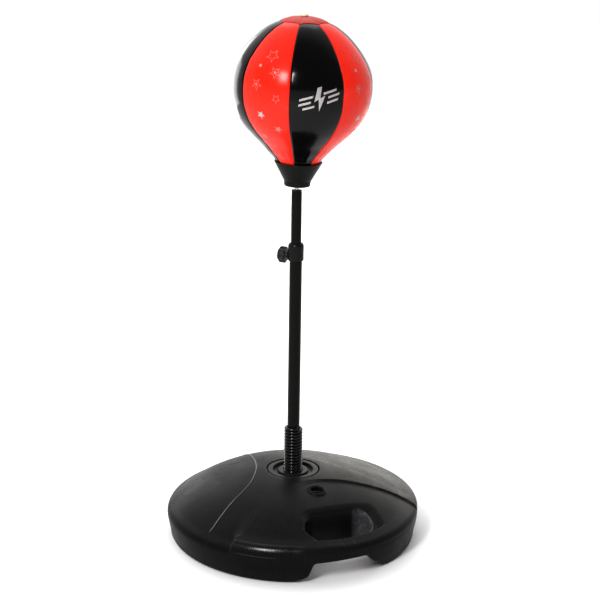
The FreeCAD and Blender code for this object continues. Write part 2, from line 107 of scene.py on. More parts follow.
def mix_col(nt, fac, a, b, blend="MIX"):
    m = nt.nodes.new("ShaderNodeMix")
    m.data_type = "RGBA"
    m.blend_type = blend
    for sock, v in ((m.inputs[0], fac), (m.inputs[6], a), (m.inputs[7], b)):
        if isinstance(v, (int, float)):
            sock.default_value = v
        elif isinstance(v, (tuple, list)):
            sock.default_value = (*v[:3], 1)
        else:
            nt.links.new(v, sock)
    return m.outputs[2]


def bump(nt, height, strength, dist, normal=None):
    b = nt.nodes.new("ShaderNodeBump")
    b.inputs["Strength"].default_value = strength
    b.inputs["Distance"].default_value = dist
    nt.links.new(height, b.inputs["Height"])
    if normal is not None:
        nt.links.new(normal, b.inputs["Normal"])
    return b.outputs["Normal"]


def stretched(nt, sx, sy, sz):
    mp = nt.nodes.new("ShaderNodeMapping")
    mp.inputs["Scale"].default_value = (sx, sy, sz)
    nt.links.new(ncoord(nt), mp.inputs["Vector"])
    return mp.outputs["Vector"]


def plastic(name, col_a, col_b, rough=(0.38, 0.52), grain=900.0, grain_h=0.00008, grain_s=0.35, coat=0.0,
            spec=0.5, wear=None, wave=0.0):
    """Moulded plastic: fine texture, slow colour drift, rubbed patches."""
    m, nt, N, L, b = new_mat(name)
    slow = noise(nt, 9.0, 3.0)
    fine = noise(nt, 140.0, 5.0)
    both = math_node(nt, "ADD", math_node(nt, "MULTIPLY", slow, 0.6), math_node(nt, "MULTIPLY", fine, 0.4))
    col = ramp(nt, both, [(0.35, col_a), (0.65, col_b)])
    if wear is not None:
        g = nt.nodes.new("ShaderNodeNewGeometry")
        edge = remap(nt, g.outputs["Pointiness"], 0.0, 1.0, 0.53, 0.60)
        scuff = remap(nt, noise(nt, 60.0, 6.0), 0.0, 1.0, 0.45, 0.75)
        col = mix_col(nt, math_node(nt, "MULTIPLY", math_node(nt, "MULTIPLY", edge, scuff), 0.55), col, wear)
    L.new(col, b.inputs["Base Color"])
    L.new(remap(nt, noise(nt, 35.0, 5.0), rough[0], rough[1], 0.3, 0.7), b.inputs["Roughness"])
    b.inputs["Specular IOR Level"].default_value = spec
    b.inputs["Coat Weight"].default_value = coat
    b.inputs["Coat Roughness"].default_value = 0.18
    n0 = None
    if wave:
        n0 = bump(nt, noise(nt, 14.0, 2.0), wave, 0.002)
    n1 = bump(nt, noise(nt, grain, 2.0, 0.6), grain_s, grain_h, n0)
    L.new(n1, b.inputs["Normal"])
    return m


def metal(name, col, rough=(0.22, 0.42), metallic=1.0, scratch=0.25, stretch=(400, 400, 60)):
    m, nt, N, L, b = new_mat(name)
    base = ramp(nt, noise(nt, 60.0, 5.0), [(0.3, tuple(c * 0.82 for c in col)), (0.7, col)])
    L.new(base, b.inputs["Base Color"])
    b.inputs["Metallic"].default_value = metallic
    sc = noise(nt, 6.0, 3.0, 0.6, stretched(nt, *stretch))
    L.new(remap(nt, sc, rough[0], rough[1], 0.3, 0.7), b.inputs["Roughness"])
    L.new(bump(nt, sc, scratch, 0.00006), b.inputs["Normal"])
    return m


def vinyl(name, col_a, col_b, rough=(0.16, 0.26), coat=0.5, spec=0.5):
    """Glossy calendered vinyl: slight unevenness, faint orange peel, handling smears."""
    m, nt, N, L, b = new_mat(name)
    drift = noise(nt, 16.0, 3.0)
    L.new(ramp(nt, drift, [(0.3, col_a), (0.7, col_b)]), b.inputs["Base Color"])
    smear = noise(nt, 22.0, 6.0, 0.6, stretched(nt, 1.0, 1.0, 0.5), 0.6)
    L.new(remap(nt, smear, rough[0], rough[1], 0.3, 0.7), b.inputs["Roughness"])
    b.inputs["Coat Weight"].default_value = coat
    b.inputs["Coat Roughness"].default_value = 0.12
    b.inputs["Specular IOR Level"].default_value = spec
    n0 = bump(nt, noise(nt, 20.0, 2.0), 0.10, 0.002)
    n1 = bump(nt, noise(nt, 480.0, 2.0), 0.06, 0.0001, n0)
    L.new(n1, b.inputs["Normal"])
    return m


M = {}
M["hub"] = plastic("hub_plastic", (0.010, 0.010, 0.0105), (0.015, 0.015, 0.0155), rough=(0.34, 0.46), grain=900.0,
                   grain_s=0.4, wear=(0.06, 0.06, 0.06), spec=0.22)
M["plug"] = plastic("stopper_plastic", (0.0065, 0.0065, 0.007), (0.010, 0.010, 0.0105), rough=(0.30, 0.42), grain=700.0,
                    wear=(0.04, 0.04, 0.04), spec=0.2)
M["knob"] = plastic("knob_plastic", (0.008, 0.008, 0.008), (0.016, 0.016, 0.016), rough=(0.32, 0.48), grain=1500.0,
                    grain_s=0.9, grain_h=0.00018, wear=(0.07, 0.07, 0.07), spec=0.45)
M["collar"] = plastic("collar_plastic", (0.008, 0.008, 0.0085), (0.013, 0.013, 0.0135), rough=(0.28, 0.38), grain=1200.0,
                      grain_s=0.35, wear=(0.05, 0.05, 0.05), spec=0.17)
M["cup"] = plastic("cup_plastic", (0.0060, 0.0060, 0.0055), (0.0095, 0.0095, 0.0088), rough=(0.32, 0.44), grain=1300.0,
                   grain_s=0.4, wear=(0.03, 0.03, 0.03), spec=0.15)
M["powder"] = plastic("powder_coated_tube", (0.0084, 0.0078, 0.0073), (0.0100, 0.0093, 0.0087), rough=(0.310, 0.345), grain=1600.0,
                      grain_h=0.00005, grain_s=0.35, spec=0.10)
M["spring"] = plastic("coated_spring_wire", (0.0035, 0.0035, 0.004), (0.006, 0.006, 0.0065), rough=(0.10, 0.18), grain=900.0,
                      grain_h=0.00003, grain_s=0.12, coat=0.25, spec=0.5)
M["zinc"] = metal("zinc_plated_steel", (0.70, 0.71, 0.73))
M["brass"] = metal("machined_brass", (0.78, 0.58, 0.25), rough=(0.18, 0.34))
M["nylon"] = plastic("natural_nylon", (0.66, 0.64, 0.58), (0.78, 0.76, 0.70), rough=(0.32, 0.45), grain=500.0)
M["rubber"] = plastic("seal_rubber", (0.012, 0.012, 0.012), (0.024, 0.024, 0.024), rough=(0.62, 0.82), grain=700.0)
M["bladder"] = plastic("latex_bladder", (0.05, 0.045, 0.04), (0.08, 0.07, 0.06), rough=(0.5, 0.7), grain=300.0)
M["cream"] = plastic("cream_valve_plastic", (0.74, 0.62, 0.46), (0.84, 0.74, 0.58), rough=(0.28, 0.40), grain=700.0,
                     grain_s=0.25, spec=0.5)
M["red"] = vinyl("red_vinyl", (0.77, 0.024, 0.010), (0.84, 0.032, 0.013), rough=(0.23, 0.31), spec=0.27, coat=0.03)
M["crown"] = vinyl("top_patch_vinyl", (0.42, 0.024, 0.013), (0.48, 0.030, 0.016), rough=(0.34, 0.44), spec=0.30, coat=0.02)
M["black"] = vinyl("black_vinyl", (0.0022, 0.0022, 0.0024), (0.0034, 0.0034, 0.0036), rough=(0.12, 0.19), coat=0.04, spec=0.26)


def base_plastic():
    """Blow-moulded polyethylene: satin black with a fine moulded grain, a painted highlight in pale colour along some
    edges, coarse where the mould's texture shows inside the hand hole."""
    m, nt, N, L, b = new_mat("black_polyethylene")
    slow, fine = noise(nt, 7.0, 3.0), noise(nt, 120.0, 5.0)
    both = math_node(nt, "ADD", math_node(nt, "MULTIPLY", slow, 0.6), math_node(nt, "MULTIPLY", fine, 0.4))
    col = ramp(nt, both, [(0.35, (0.0058, 0.0058, 0.0060)), (0.65, (0.0092, 0.0092, 0.0095))])
    # painted highlight: pale colour mixed in along the front blade's step and the hand hole's top rim
    edge_highlight = N.new("ShaderNodeAttribute")
    edge_highlight.attribute_name = "edge_highlight"
    col = mix_col(nt, math_node(nt, "MULTIPLY", edge_highlight.outputs["Fac"], remap(nt, fine, 0.2, 0.9, 0.3, 0.7)), col, (0.045, 0.045, 0.046))
    mot = N.new("ShaderNodeAttribute")
    mot.attribute_name = "mottle"
    spots = remap(nt, noise(nt, 230.0, 4.0, 0.7), 0.0, 1.0, 0.48, 0.66)
    k = math_node(nt, "MULTIPLY", mot.outputs["Fac"], spots)
    col = mix_col(nt, math_node(nt, "MULTIPLY", mot.outputs["Fac"], 0.85), col, (0.075, 0.076, 0.08))
    col = mix_col(nt, math_node(nt, "MULTIPLY", k, 0.7), col, (0.15, 0.15, 0.157))
    L.new(col, b.inputs["Base Color"])
    wall = N.new("ShaderNodeAttribute")
    wall.attribute_name = "wall"
    pol = N.new("ShaderNodeAttribute")
    pol.attribute_name = "polish"
    r0 = remap(nt, noise(nt, 30.0, 5.0), 0.36, 0.46, 0.3, 0.7)
    grains = remap(nt, noise(nt, 330.0, 3.0, 0.6), 0.82, 1.18, 0.36, 0.64)
    r0 = math_node(nt, "MULTIPLY", r0, grains)
    r0 = math_node(nt, "MULTIPLY", r0, remap(nt, pol.outputs["Fac"], 1.0, 0.62))
    L.new(r0, b.inputs["Roughness"])
    sp = math_node(nt, "MULTIPLY", remap(nt, wall.outputs["Fac"], 0.16, 0.085), grains)
    L.new(math_node(nt, "ADD", sp, math_node(nt, "MULTIPLY", pol.outputs["Fac"], 0.24)), b.inputs["Specular IOR Level"])
    n0 = bump(nt, noise(nt, 12.0, 2.0), 0.05, 0.002)
    n0 = bump(nt, noise(nt, 360.0, 3.0, 0.6), 0.30, 0.00030, n0)
    n1 = bump(nt, noise(nt, 1000.0, 2.0, 0.6), 0.55, 0.00010, n0)
    n2 = bump(nt, k, 0.6, 0.0008, n1)
    L.new(n2, b.inputs["Normal"])
    return m


M["base"] = base_plastic()
# painted highlight with rubbed wear: the left blade's raised edge is coloured pale grey, far lighter than the tank
M["ridge"] = plastic("moulding_edge_highlight_and_wear", (0.10, 0.10, 0.10), (0.20, 0.20, 0.20), rough=(0.30, 0.42), grain=900.0,
                     grain_s=0.3, spec=0.5)
# painted highlight: the parting line's front stretch is coloured paler than the tank, the rest keeps the tank's own
# material
M["parting_highlight"] = plastic("parting_line_painted_highlight", (0.035, 0.035, 0.035), (0.060, 0.060, 0.060), rough=(0.24, 0.34), grain=900.0,
                     grain_s=0.2, spec=0.5)


def silver():
    m, nt, N, L, b = new_mat("silver_print_ink")
    n = noise(nt, 900.0, 3.0)
    L.new(ramp(nt, n, [(0.30, (0.36, 0.33, 0.33)), (0.70, (0.62, 0.60, 0.60))]), b.inputs["Base Color"])
    b.inputs["Metallic"].default_value = 0.35
    L.new(remap(nt, noise(nt, 260.0, 4.0), 0.32, 0.55, 0.3, 0.7), b.inputs["Roughness"])
    L.new(bump(nt, n, 0.3, 0.00005), b.inputs["Normal"])
    return m


def silver_faint():
    m, nt, N, L, b = new_mat("worn_silver_print_ink")
    n = noise(nt, 700.0, 4.0)
    L.new(ramp(nt, n, [(0.34, (0.70, 0.06, 0.04)), (0.62, (0.52, 0.30, 0.28))]), b.inputs["Base Color"])
    b.inputs["Metallic"].default_value = 0.1
    L.new(remap(nt, noise(nt, 260.0, 4.0), 0.25, 0.5, 0.3, 0.7), b.inputs["Roughness"])
    L.new(bump(nt, n, 0.2, 0.00004), b.inputs["Normal"])
    return m


def sand():
    m, nt, N, L, b = new_mat("dry_sand")
    v = nt.nodes.new("ShaderNodeTexVoronoi")
    v.inputs["Scale"].default_value = 1400.0
    L.new(ncoord(nt), v.inputs["Vector"])
    L.new(ramp(nt, noise(nt, 800.0, 5.0), [(0.3, (0.36, 0.26, 0.15)), (0.5, (0.60, 0.48, 0.30)), (0.72, (0.80, 0.72, 0.56))]),
          b.inputs["Base Color"])
    b.inputs["Roughness"].default_value = 0.92
    L.new(bump(nt, v.outputs["Distance"], 0.7, 0.0004), b.inputs["Normal"])
    return m


def silver_mid():
    m, nt, N, L, b = new_mat("thin_silver_print_ink")
    n = noise(nt, 800.0, 4.0)
    L.new(ramp(nt, n, [(0.32, (0.66, 0.15, 0.11)), (0.62, (0.60, 0.40, 0.37))]), b.inputs["Base Color"])
    b.inputs["Metallic"].default_value = 0.15
    L.new(remap(nt, noise(nt, 260.0, 4.0), 0.28, 0.5, 0.3, 0.7), b.inputs["Roughness"])
    L.new(bump(nt, n, 0.2, 0.00004), b.inputs["Normal"])
    return m


M["silver"], M["silver_mid"], M["silver_faint"], M["sand"] = silver(), silver_mid(), silver_faint(), sand()


def set_mat(o, m):
    o.data.materials.clear()
    o.data.materials.append(m)


# ------------------------------------------------------------------ mesh helpers
def make_obj(name, verts, faces, mat, smooth=True, normals=None):
    me = bpy.data.meshes.new(name)
    verts = np.asarray(verts, np.float32)
    faces = list(faces) if not isinstance(faces, np.ndarray) else faces
    if isinstance(faces, np.ndarray):
        k = faces.shape[1]
        me.vertices.add(len(verts))
        me.vertices.foreach_set("co", verts.ravel())
        me.loops.add(faces.size)
        me.loops.foreach_set("vertex_index", faces.ravel().astype(np.int32))
        me.polygons.add(len(faces))
        me.polygons.foreach_set("loop_start", np.arange(0, faces.size, k, dtype=np.int32))
        me.update(calc_edges=True)
        me.validate()
    else:
        me.from_pydata([tuple(v) for v in verts], [], [tuple(f) for f in faces])
        me.update()
    if smooth:
        me.polygons.foreach_set("use_smooth", np.ones(len(me.polygons), bool))
    if normals is not None:
        me.normals_split_custom_set_from_vertices([tuple(n) for n in normals])
    o = bpy.data.objects.new(name, me)
    scene.collection.objects.link(o)
    o.data.materials.append(mat)
    return o


def pchip(xs, ys):
    """Monotone cubic interpolation, as a function on arrays."""
    xs, ys = np.asarray(xs, float), np.asarray(ys, float)
    h, d = np.diff(xs), np.diff(ys) / np.diff(xs)
    m = np.zeros_like(ys)
    for i in range(1, len(xs) - 1):
        if d[i - 1] * d[i] > 0:
            w1, w2 = 2 * h[i] + h[i - 1], h[i] + 2 * h[i - 1]
            m[i] = (w1 + w2) / (w1 / d[i - 1] + w2 / d[i])
    m[0], m[-1] = d[0], d[-1]

    def f(x):
        x = np.asarray(x, float)
        i = np.clip(np.searchsorted(xs, x) - 1, 0, len(xs) - 2)
        t = (x - xs[i]) / h[i]
        out = t < 0
        out2 = t > 1
        tc = np.clip(t, 0, 1)
        y = ((1 + 2 * tc) * (1 - tc) ** 2 * ys[i] + tc * (1 - tc) ** 2 * h[i] * m[i]
             + tc ** 2 * (3 - 2 * tc) * ys[i + 1] + tc ** 2 * (tc - 1) * h[i] * m[i + 1])
        y = np.where(out, ys[0] + m[0] * (x - xs[0]), y)
        y = np.where(out2, ys[-1] + m[-1] * (x - xs[-1]), y)
        return y
    return f


def smoothstep(t):
    t = np.clip(t, 0, 1)
    return t * t * (3 - 2 * t)


def smax(a, b, k):
    h = np.clip(0.5 + 0.5 * (a - b) / k, 0, 1)
    return b + (a - b) * h + k * h * (1 - h)


def surface_nets(F, origin, h):
    S = F < 0
    nx, ny, nz = F.shape
    c = np.zeros((nx - 1, ny - 1, nz - 1), np.uint8)
    for dx in (0, 1):
        for dy in (0, 1):
            for dz in (0, 1):
                c += S[dx:nx - 1 + dx, dy:ny - 1 + dy, dz:nz - 1 + dz]
    act = (c > 0) & (c < 8)
    idx = np.full(act.shape, -1, np.int32)
    ai, aj, ak = np.nonzero(act)
    idx[ai, aj, ak] = np.arange(len(ai))
    acc, cnt = np.zeros((len(ai), 3)), np.zeros(len(ai))
    for ax in range(3):
        others = [a for a in range(3) if a != ax]
        for u in (0, 1):
            for v in (0, 1):
                o0 = [0, 0, 0]
                o0[others[0]], o0[others[1]] = u, v
                o1 = list(o0)
                o1[ax] = 1
                f0 = F[ai + o0[0], aj + o0[1], ak + o0[2]]
                f1 = F[ai + o1[0], aj + o1[1], ak + o1[2]]
                m = (f0 < 0) != (f1 < 0)
                t = f0[m] / (f0[m] - f1[m])
                p = np.tile(np.array(o0, float), (len(t), 1))
                p[:, ax] = t
                acc[m] += p
                cnt[m] += 1
    V = (acc / cnt[:, None] + np.c_[ai, aj, ak]) * h + origin
    quads = []
    for ax in range(3):
        sl0 = [slice(None)] * 3
        sl1 = [slice(None)] * 3
        sl0[ax], sl1[ax] = slice(0, -1), slice(1, None)
        a, b = S[tuple(sl0)], S[tuple(sl1)]
        e = a != b
        i, j, k = np.nonzero(e)
        P = [i, j, k]
        o1, o2 = [q for q in range(3) if q != ax]
        ok = (P[o1] > 0) & (P[o2] > 0) & (P[o1] < F.shape[o1] - 1) & (P[o2] < F.shape[o2] - 1)
        i, j, k = i[ok], j[ok], k[ok]
        inside_first = a[i, j, k]
        cells = []
        for d1, d2 in ((-1, -1), (0, -1), (0, 0), (-1, 0)):
            Q = [i.copy(), j.copy(), k.copy()]
            Q[o1] = Q[o1] + d1
            Q[o2] = Q[o2] + d2
            cells.append(idx[Q[0], Q[1], Q[2]])
        q = np.stack(cells, 1)
        flip = inside_first if ax != 1 else ~inside_first
        q[~flip] = q[~flip][:, ::-1]
        quads.append(q)
    return V, np.concatenate(quads)


# ------------------------------------------------------------------ base tank (one moulded skin, millimetres here)
DOME = pchip([0, 42, 61, 81, 100, 120, 140, 160, 178, 189, 195.5, 203],
             [104.4, 104, 102.3, 99, 94.4, 88.3, 80.6, 71.6, 63.0, 59.0, 56.6, 52.0])
LOW = pchip([0, 42, 61, 81, 100, 120, 140, 160, 175, 186, 194, 203],
            [103.2, 102.8, 101.0, 97.4, 92.6, 86.8, 79.2, 68.9, 59.6, 52.0, 47.4, 40.0])
SIDE = pchip([-6, 0, 6, 40.5, 42, 43.5, 60, 120], [194.2, 194.9, 195.2, 200.5, 200.25, 200.55, 199.6, 196])
FRONT_EDGE = [(-98.0, -190.0), (-84.4, -159.8), (-76.1, -148.0), (-64.2, -130.2), (-52.0, -115.6), (-37.2, -97.4),
              (-19.4, -80.6), (1.0, -64.9), (19.2, -54.2), (40.2, -42.8), (66.7, -34.5), (93.4, -29.3),
              (120.1, -24.8), (144.0, -19.6), (162.0, -16.8), (178.0, -17.2), (189.0, -22.0), (197.0, -30.0), (210.0, -44.0)]
LEFT_EDGE = [(-141.0, -155.0), (-127.4, -137.5), (-120.2, -128.5), (-113.8, -119.5), (-106.0, -109.0), (-98.1, -97.5),
             (-90.2, -86.6), (-77.9, -70.0), (-66.2, -47.0), (-60.7, -22.0), (-58.6, 6.0), (-61.5, 35.0),
             (-66.5, 62.0), (-72.5, 88.0), (-79.3, 110.0), (-90.0, 145.0), (-106.0, 200.0)]


def spun(pts, deg):
    c, s = math.cos(math.radians(deg)), math.sin(math.radians(deg))
    return [(c * x - s * y, s * x + c * y) for x, y in pts]


def smooth_line(pts, n=8):
    P = np.array(pts, float)
    P = np.vstack([2 * P[0] - P[1], P, 2 * P[-1] - P[-2]])
    out = []
    for i in range(1, len(P) - 2):
        for t in np.arange(n) / n:
            a, b, c, d = P[i - 1], P[i], P[i + 1], P[i + 2]
            out.append(0.5 * ((2 * b) + (c - a) * t + (2 * a - 5 * b + 4 * c - d) * t ** 2 + (3 * b - a - 3 * c + d) * t ** 3))
    out.append(P[-2])
    return np.array(out)


class Edge2D:
    """Signed distance to a plan curve on a grid, positive to the right of its direction of travel."""
    def __init__(self, pts, h=1.0, lim=206.0):
        L = smooth_line(pts)
        self.h, self.lim = h, lim
        g = np.arange(-lim, lim + h, h)
        X, Y = np.meshgrid(g, g, indexing="ij")
        best = np.full(X.shape, 1e9)
        sign = np.ones(X.shape)
        along = np.zeros(X.shape)
        lens = np.r_[0, np.cumsum(np.hypot(*np.diff(L, axis=0).T))]
        for i in range(len(L) - 1):
            a, b = L[i], L[i + 1]
            d = b - a
            l2 = d @ d
            t = np.clip(((X - a[0]) * d[0] + (Y - a[1]) * d[1]) / l2, 0, 1)
            px, py = X - (a[0] + t * d[0]), Y - (a[1] + t * d[1])
            q = px * px + py * py
            m = q < best
            best[m] = q[m]
            cr = d[0] * (Y - a[1]) - d[1] * (X - a[0])
            sign[m] = np.where(cr[m] > 0, -1.0, 1.0)
            along[m] = (lens[i] + t * math.sqrt(l2))[m] / lens[-1]
        self.D = np.sqrt(best) * sign
        self.A = along

    def _at(self, G, x, y):
        u, v = (x + self.lim) / self.h, (y + self.lim) / self.h
        i = np.clip(u.astype(int), 0, G.shape[0] - 2)
        j = np.clip(v.astype(int), 0, G.shape[1] - 2)
        fu, fv = np.clip(u - i, 0, 1), np.clip(v - j, 0, 1)
        return (G[i, j] * (1 - fu) * (1 - fv) + G[i + 1, j] * fu * (1 - fv) + G[i, j + 1] * (1 - fu) * fv
                + G[i + 1, j + 1] * fu * fv)

    def dist(self, x, y):
        return self._at(self.D, x, y)

    def along(self, x, y):
        return self._at(self.A, x, y)


E_FRONT, E_LEFT = Edge2D(FRONT_EDGE), Edge2D(LEFT_EDGE)
E_BACK = Edge2D(spun(FRONT_EDGE, 117.0))
HD = math.radians(26.4)
HT = (math.cos(HD), math.sin(HD))        # sideways along the hand hole
HN = (math.sin(HD), -math.cos(HD))       # outwards through the hand hole
NOTCH = pchip([-104, -92, -84.0, -73.0, -65.8, -62.4, -60.6, -58.8, -57.2, -54.5, -46.0, -16.0, 24.0, 31.0, 38.0, 48.0, 60.0,
               72.0, 84.0, 96.0],
              [-3.5, -0.6, 1.6, 4.2, 7.6, 11.0, 15.0, 22.0, 28.0, 31.4, 32.3, 32.7, 32.2, 30.0, 23.0, 15.0, 8.6,
               4.4, 1.4, -2.5])
PLUG = np.array([37.6, -72.0, 96.3])
pl = math.hypot(37.6, 72.0)
PT = math.radians(11.0)
PLUG_AX = np.array([math.sin(PT) * 37.6 / pl, -math.sin(PT) * 72.0 / pl, math.cos(PT)])


def hole_sdf(x, y):
    lt, d, r = x * HT[0] + y * HT[1], x * HN[0] + y * HN[1], np.hypot(x, y)
    q1 = np.maximum(-lt - 38.0 - 15.5 * smoothstep((d - 118.0) / 36.0), lt - 61.0) + 15
    q2 = np.maximum(127.0 - d, np.where(d > 0, r, 400) - 175.5) + 15
    return np.minimum(np.maximum(q1, q2), 0) + np.hypot(np.maximum(q1, 0), np.maximum(q2, 0)) - 15


def top_height(x, y):
    r = np.hypot(x, y)
    hi, lo = DOME(r), LOW(r)
    side = smoothstep((-x + 10) / 70.0) * smoothstep((r - 105) / 45.0)      # the main skin's rim is low on the left
    h = hi * (1 - side) + lo * side
    # left blade: runs down to the low rim behind a raised lip
    dl = -E_LEFT.dist(x, y)
    wl = smoothstep((dl + 0.8) / 1.6)
    h = h * (1 - wl) + (lo + 0.2) * wl
    h = h + 0.35 * np.exp(-((dl + 0.6) / 1.3) ** 2) * smoothstep((186 - r) / 6)
    # front blade: deep crisp step on the right, a soft crease on the left, a short sharp step at its left rim
    df, al = E_FRONT.dist(x, y), E_FRONT.along(x, y)
    crisp = smoothstep((al - 0.36) / 0.24)
    rim = smoothstep((r - 176) / 8) * smoothstep((0.2 - al) / 0.05)
    width = 2.1 + 22.0 * (1 - crisp) * (1 - 0.75 * rim) + 1.5 * rim
    drop = 2.9 * smoothstep((al - 0.26) / 0.34)
    wf = smoothstep(df / width + 0.5)
    h = h * (1 - wf) + (hi - drop) * wf
    # back blade
    db, ab = E_BACK.dist(x, y), E_BACK.along(x, y)
    softb = 1 - smoothstep((ab - 0.28) / 0.34)
    wb = smoothstep(db / (5.0 + 14.0 * softb) + 0.5) * smoothstep((r - 44) / 6)
    h = h - 0.4 * wb * (1 - wl)
    # dished surround of the hand hole: soft towards the hub and the right end, crisp along its outer rim
    lt, d = x * HT[0] + y * HT[1], x * HN[0] + y * HN[1]
    a1 = -smax(smax(117.0 - d, lt - 81.0, 16.0), (-50.0 - lt) * 1.4, 20.0)
    dish = smoothstep(a1 / 17.0) * smoothstep((181.6 - r) / 3.2)
    h = h - 5.2 * dish
    return h


def base_field(P):
    x, y, z = P[:, 0], P[:, 1], P[:, 2]
    r = np.hypot(x, y)
    h = top_height(x, y)
    slope = np.clip((r - 40) / 150, 0, 1) * 0.75
    top = (z - h) / np.sqrt(1 + slope ** 2)
    side = (r - SIDE(z))
    az = np.degrees(np.arctan2(y, x))
    lip = smoothstep((az + 122.0) / 8.0) * smoothstep((-84.0 - az) / 6.0)
    F = smax(top, side, 5.0 + 1.0 * smoothstep((-x) / 120) + 3.5 * lip)
    F = smax(F, -z, 7.0)
    s = hole_sdf(x, y) + 0.045 * (86 - z)
    F = smax(F, -s, 4.0)
    lt, d = x * HT[0] + y * HT[1], x * HN[0] + y * HN[1]
    nz = NOTCH(lt)
    sl = (NOTCH(lt + 0.5) - NOTCH(lt - 0.5))
    nt = np.maximum((z - nz) / np.sqrt(1 + sl ** 2), 126.0 - d)
    F = smax(F, -nt, 4.0)
    # fill plug's raised ring, its recess and the bore
    q = np.stack([x - PLUG[0], y - PLUG[1], z - PLUG[2]], 1)
    a = q @ PLUG_AX
    rho = np.sqrt(np.maximum((q ** 2).sum(1) - a * a, 0))
    ring = np.hypot(np.maximum(rho - 12.6, 0), np.maximum(np.abs(a + 1.6) - 2.4, 0)) - 1.6
    F = -smax(-F, -ring, 2.2)
    F = np.maximum(F, -np.maximum(rho - 11.6, 0.35 - a))
    F = np.maximum(F, -np.maximum(rho - 9.95, -58.0 - a))
    # hub seat, spring pocket, rod hole and nut pocket
    F = smax(F, -np.maximum(r - 42.3, 98.0 - z), 0.8)
    F = np.maximum(F, -np.maximum(r - 15.7, 91.9 - z))
    F = np.maximum(F, -(r - 6.4))
    F = smax(F, -np.maximum(r - 17.0, z - 16.0), 0.8)
    return F


def build_base():
    h = 1.3
    lo, hi = np.array([-203.5, -203.5, -3.0]), np.array([203.5, 203.5, 107.0])
    n = np.ceil((hi - lo) / h).astype(int) + 1
    xs, ys, zs = [lo[i] + h * np.arange(n[i]) for i in range(3)]
    F = np.empty(n, np.float32)
    for i, x in enumerate(xs):
        Y, Z = np.meshgrid(ys, zs, indexing="ij")
        P = np.stack([np.full(Y.size, x), Y.ravel(), Z.ravel()], 1)
        F[i] = base_field(P).reshape(Y.shape)
    V, quads = surface_nets(F, lo, h)
    e = 0.05

    def grad(P):
        g = np.empty_like(P)
        for a in range(3):
            d = np.zeros(3)
            d[a] = e
            g[:, a] = (base_field(P + d) - base_field(P - d)) / (2 * e)
        return g
    for _ in range(3):
        g = grad(V)
        f = base_field(V)
        stepv = -(f / np.maximum((g ** 2).sum(1), 0.05))[:, None] * g
        ln = np.linalg.norm(stepv, axis=1, keepdims=True)
        V = V + stepv * np.minimum(1, 0.5 * h / np.maximum(ln, 1e-9))
    g = grad(V)
    nrm = g / np.maximum(np.linalg.norm(g, axis=1, keepdims=True), 1e-9)
    o = make_obj("Base_Tank", V * MM, quads, M["base"], normals=nrm)
    x, y, z = V[:, 0], V[:, 1], V[:, 2]
    lt, rr = x * HT[0] + y * HT[1], np.hypot(x, y)
    s = hole_sdf(x, y)
    wall_s = s + 0.045 * (86 - z)
    mot = smoothstep((lt - 36) / 10) * smoothstep((3.5 - np.abs(wall_s)) / 1.5) * smoothstep((80 - z) / 12) * smoothstep((z - 18) / 12)
    df, al = E_FRONT.dist(x, y), E_FRONT.along(x, y)
    # painted highlight: pale colour along the front blade's crisp step and round the hand hole's top rim
    edge_highlight = 0.5 * np.exp(-(df / 1.6) ** 2) * smoothstep((al - 0.35) / 0.2) * (z > 50)
    ht = z - top_height(x, y)
    d_out = x * HN[0] + y * HN[1]
    near = np.maximum(smoothstep((-lt - 34.0) / 10.0), smoothstep((d_out - 158.0) / 8.0)) * (lt < 40)
    edge_highlight = np.maximum(edge_highlight, 0.75 * np.exp(-((wall_s - 0.6) / 1.3) ** 2) * np.exp(-((ht + 0.6) / 1.3) ** 2) * near)
    az = np.degrees(np.arctan2(y, x))
    polish = (smoothstep((az + 124.0) / 14.0) * smoothstep((-82.0 - az) / 10.0) * smoothstep((rr - 188.0) / 3.0)
              * smoothstep((z - 47.5) / 2.5))
    wall = smoothstep((rr - 195.0) / 3.0) * smoothstep((53.0 - z) / 4.0)
    for nm, v in (("mottle", mot), ("edge_highlight", edge_highlight), ("polish", polish), ("wall", wall)):
        at = o.data.attributes.new(nm, "FLOAT", "POINT")
        at.data.foreach_set("value", np.ascontiguousarray(v, np.float32))
    return o


def project(P):
    """Drops points on the tank's skin; also gives the skin's normals."""
    P = np.array(P, float)
    e = 0.05
    for _ in range(6):
        g = np.stack([(base_field(P + e * a) - base_field(P - e * a)) / (2 * e) for a in np.eye(3)], 1)
        P = P - (base_field(P) / np.maximum((g ** 2).sum(1), 0.05))[:, None] * g * 0.9
    return P, g / np.linalg.norm(g, axis=1, keepdims=True)


def bead(name, path, width, height, mat, taper=6.0, keep=None):
    """A thin half-round ridge lying on the tank's skin along a path."""
    P, Nn = project(path)
    T = np.gradient(P, axis=0)
    T /= np.linalg.norm(T, axis=1, keepdims=True)
    S = np.cross(T, Nn)
    S /= np.linalg.norm(S, axis=1, keepdims=True)
    L = np.r_[0, np.cumsum(np.linalg.norm(np.diff(P, axis=0), axis=1))]
    f = np.minimum(smoothstep(L / taper), smoothstep((L[-1] - L) / taper)) * 0.9 + 0.1
    ph = np.linspace(0, math.pi, 8)
    ring = (P[:, None] + S[:, None] * (width / 2 * f[:, None, None]) * np.cos(ph)[None, :, None]
            + Nn[:, None] * ((height * f[:, None] * np.sin(ph)[None, :]) - 0.25)[..., None])
    m = len(ph)
    faces = []
    for i in range(len(P) - 1):
        for j in range(m):
            q = (j + 1) % m
            faces.append((i * m + j, (i + 1) * m + j, (i + 1) * m + q, i * m + q))
    faces.append(tuple(range(m)))
    faces.append(tuple((len(P) - 1) * m + j for j in range(m))[::-1])
    o = make_obj(name, ring.reshape(-1, 3) * MM, faces, mat)
    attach(o, "base")
    return o


base = build_base()
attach(base, "base")
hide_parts("base_shell")
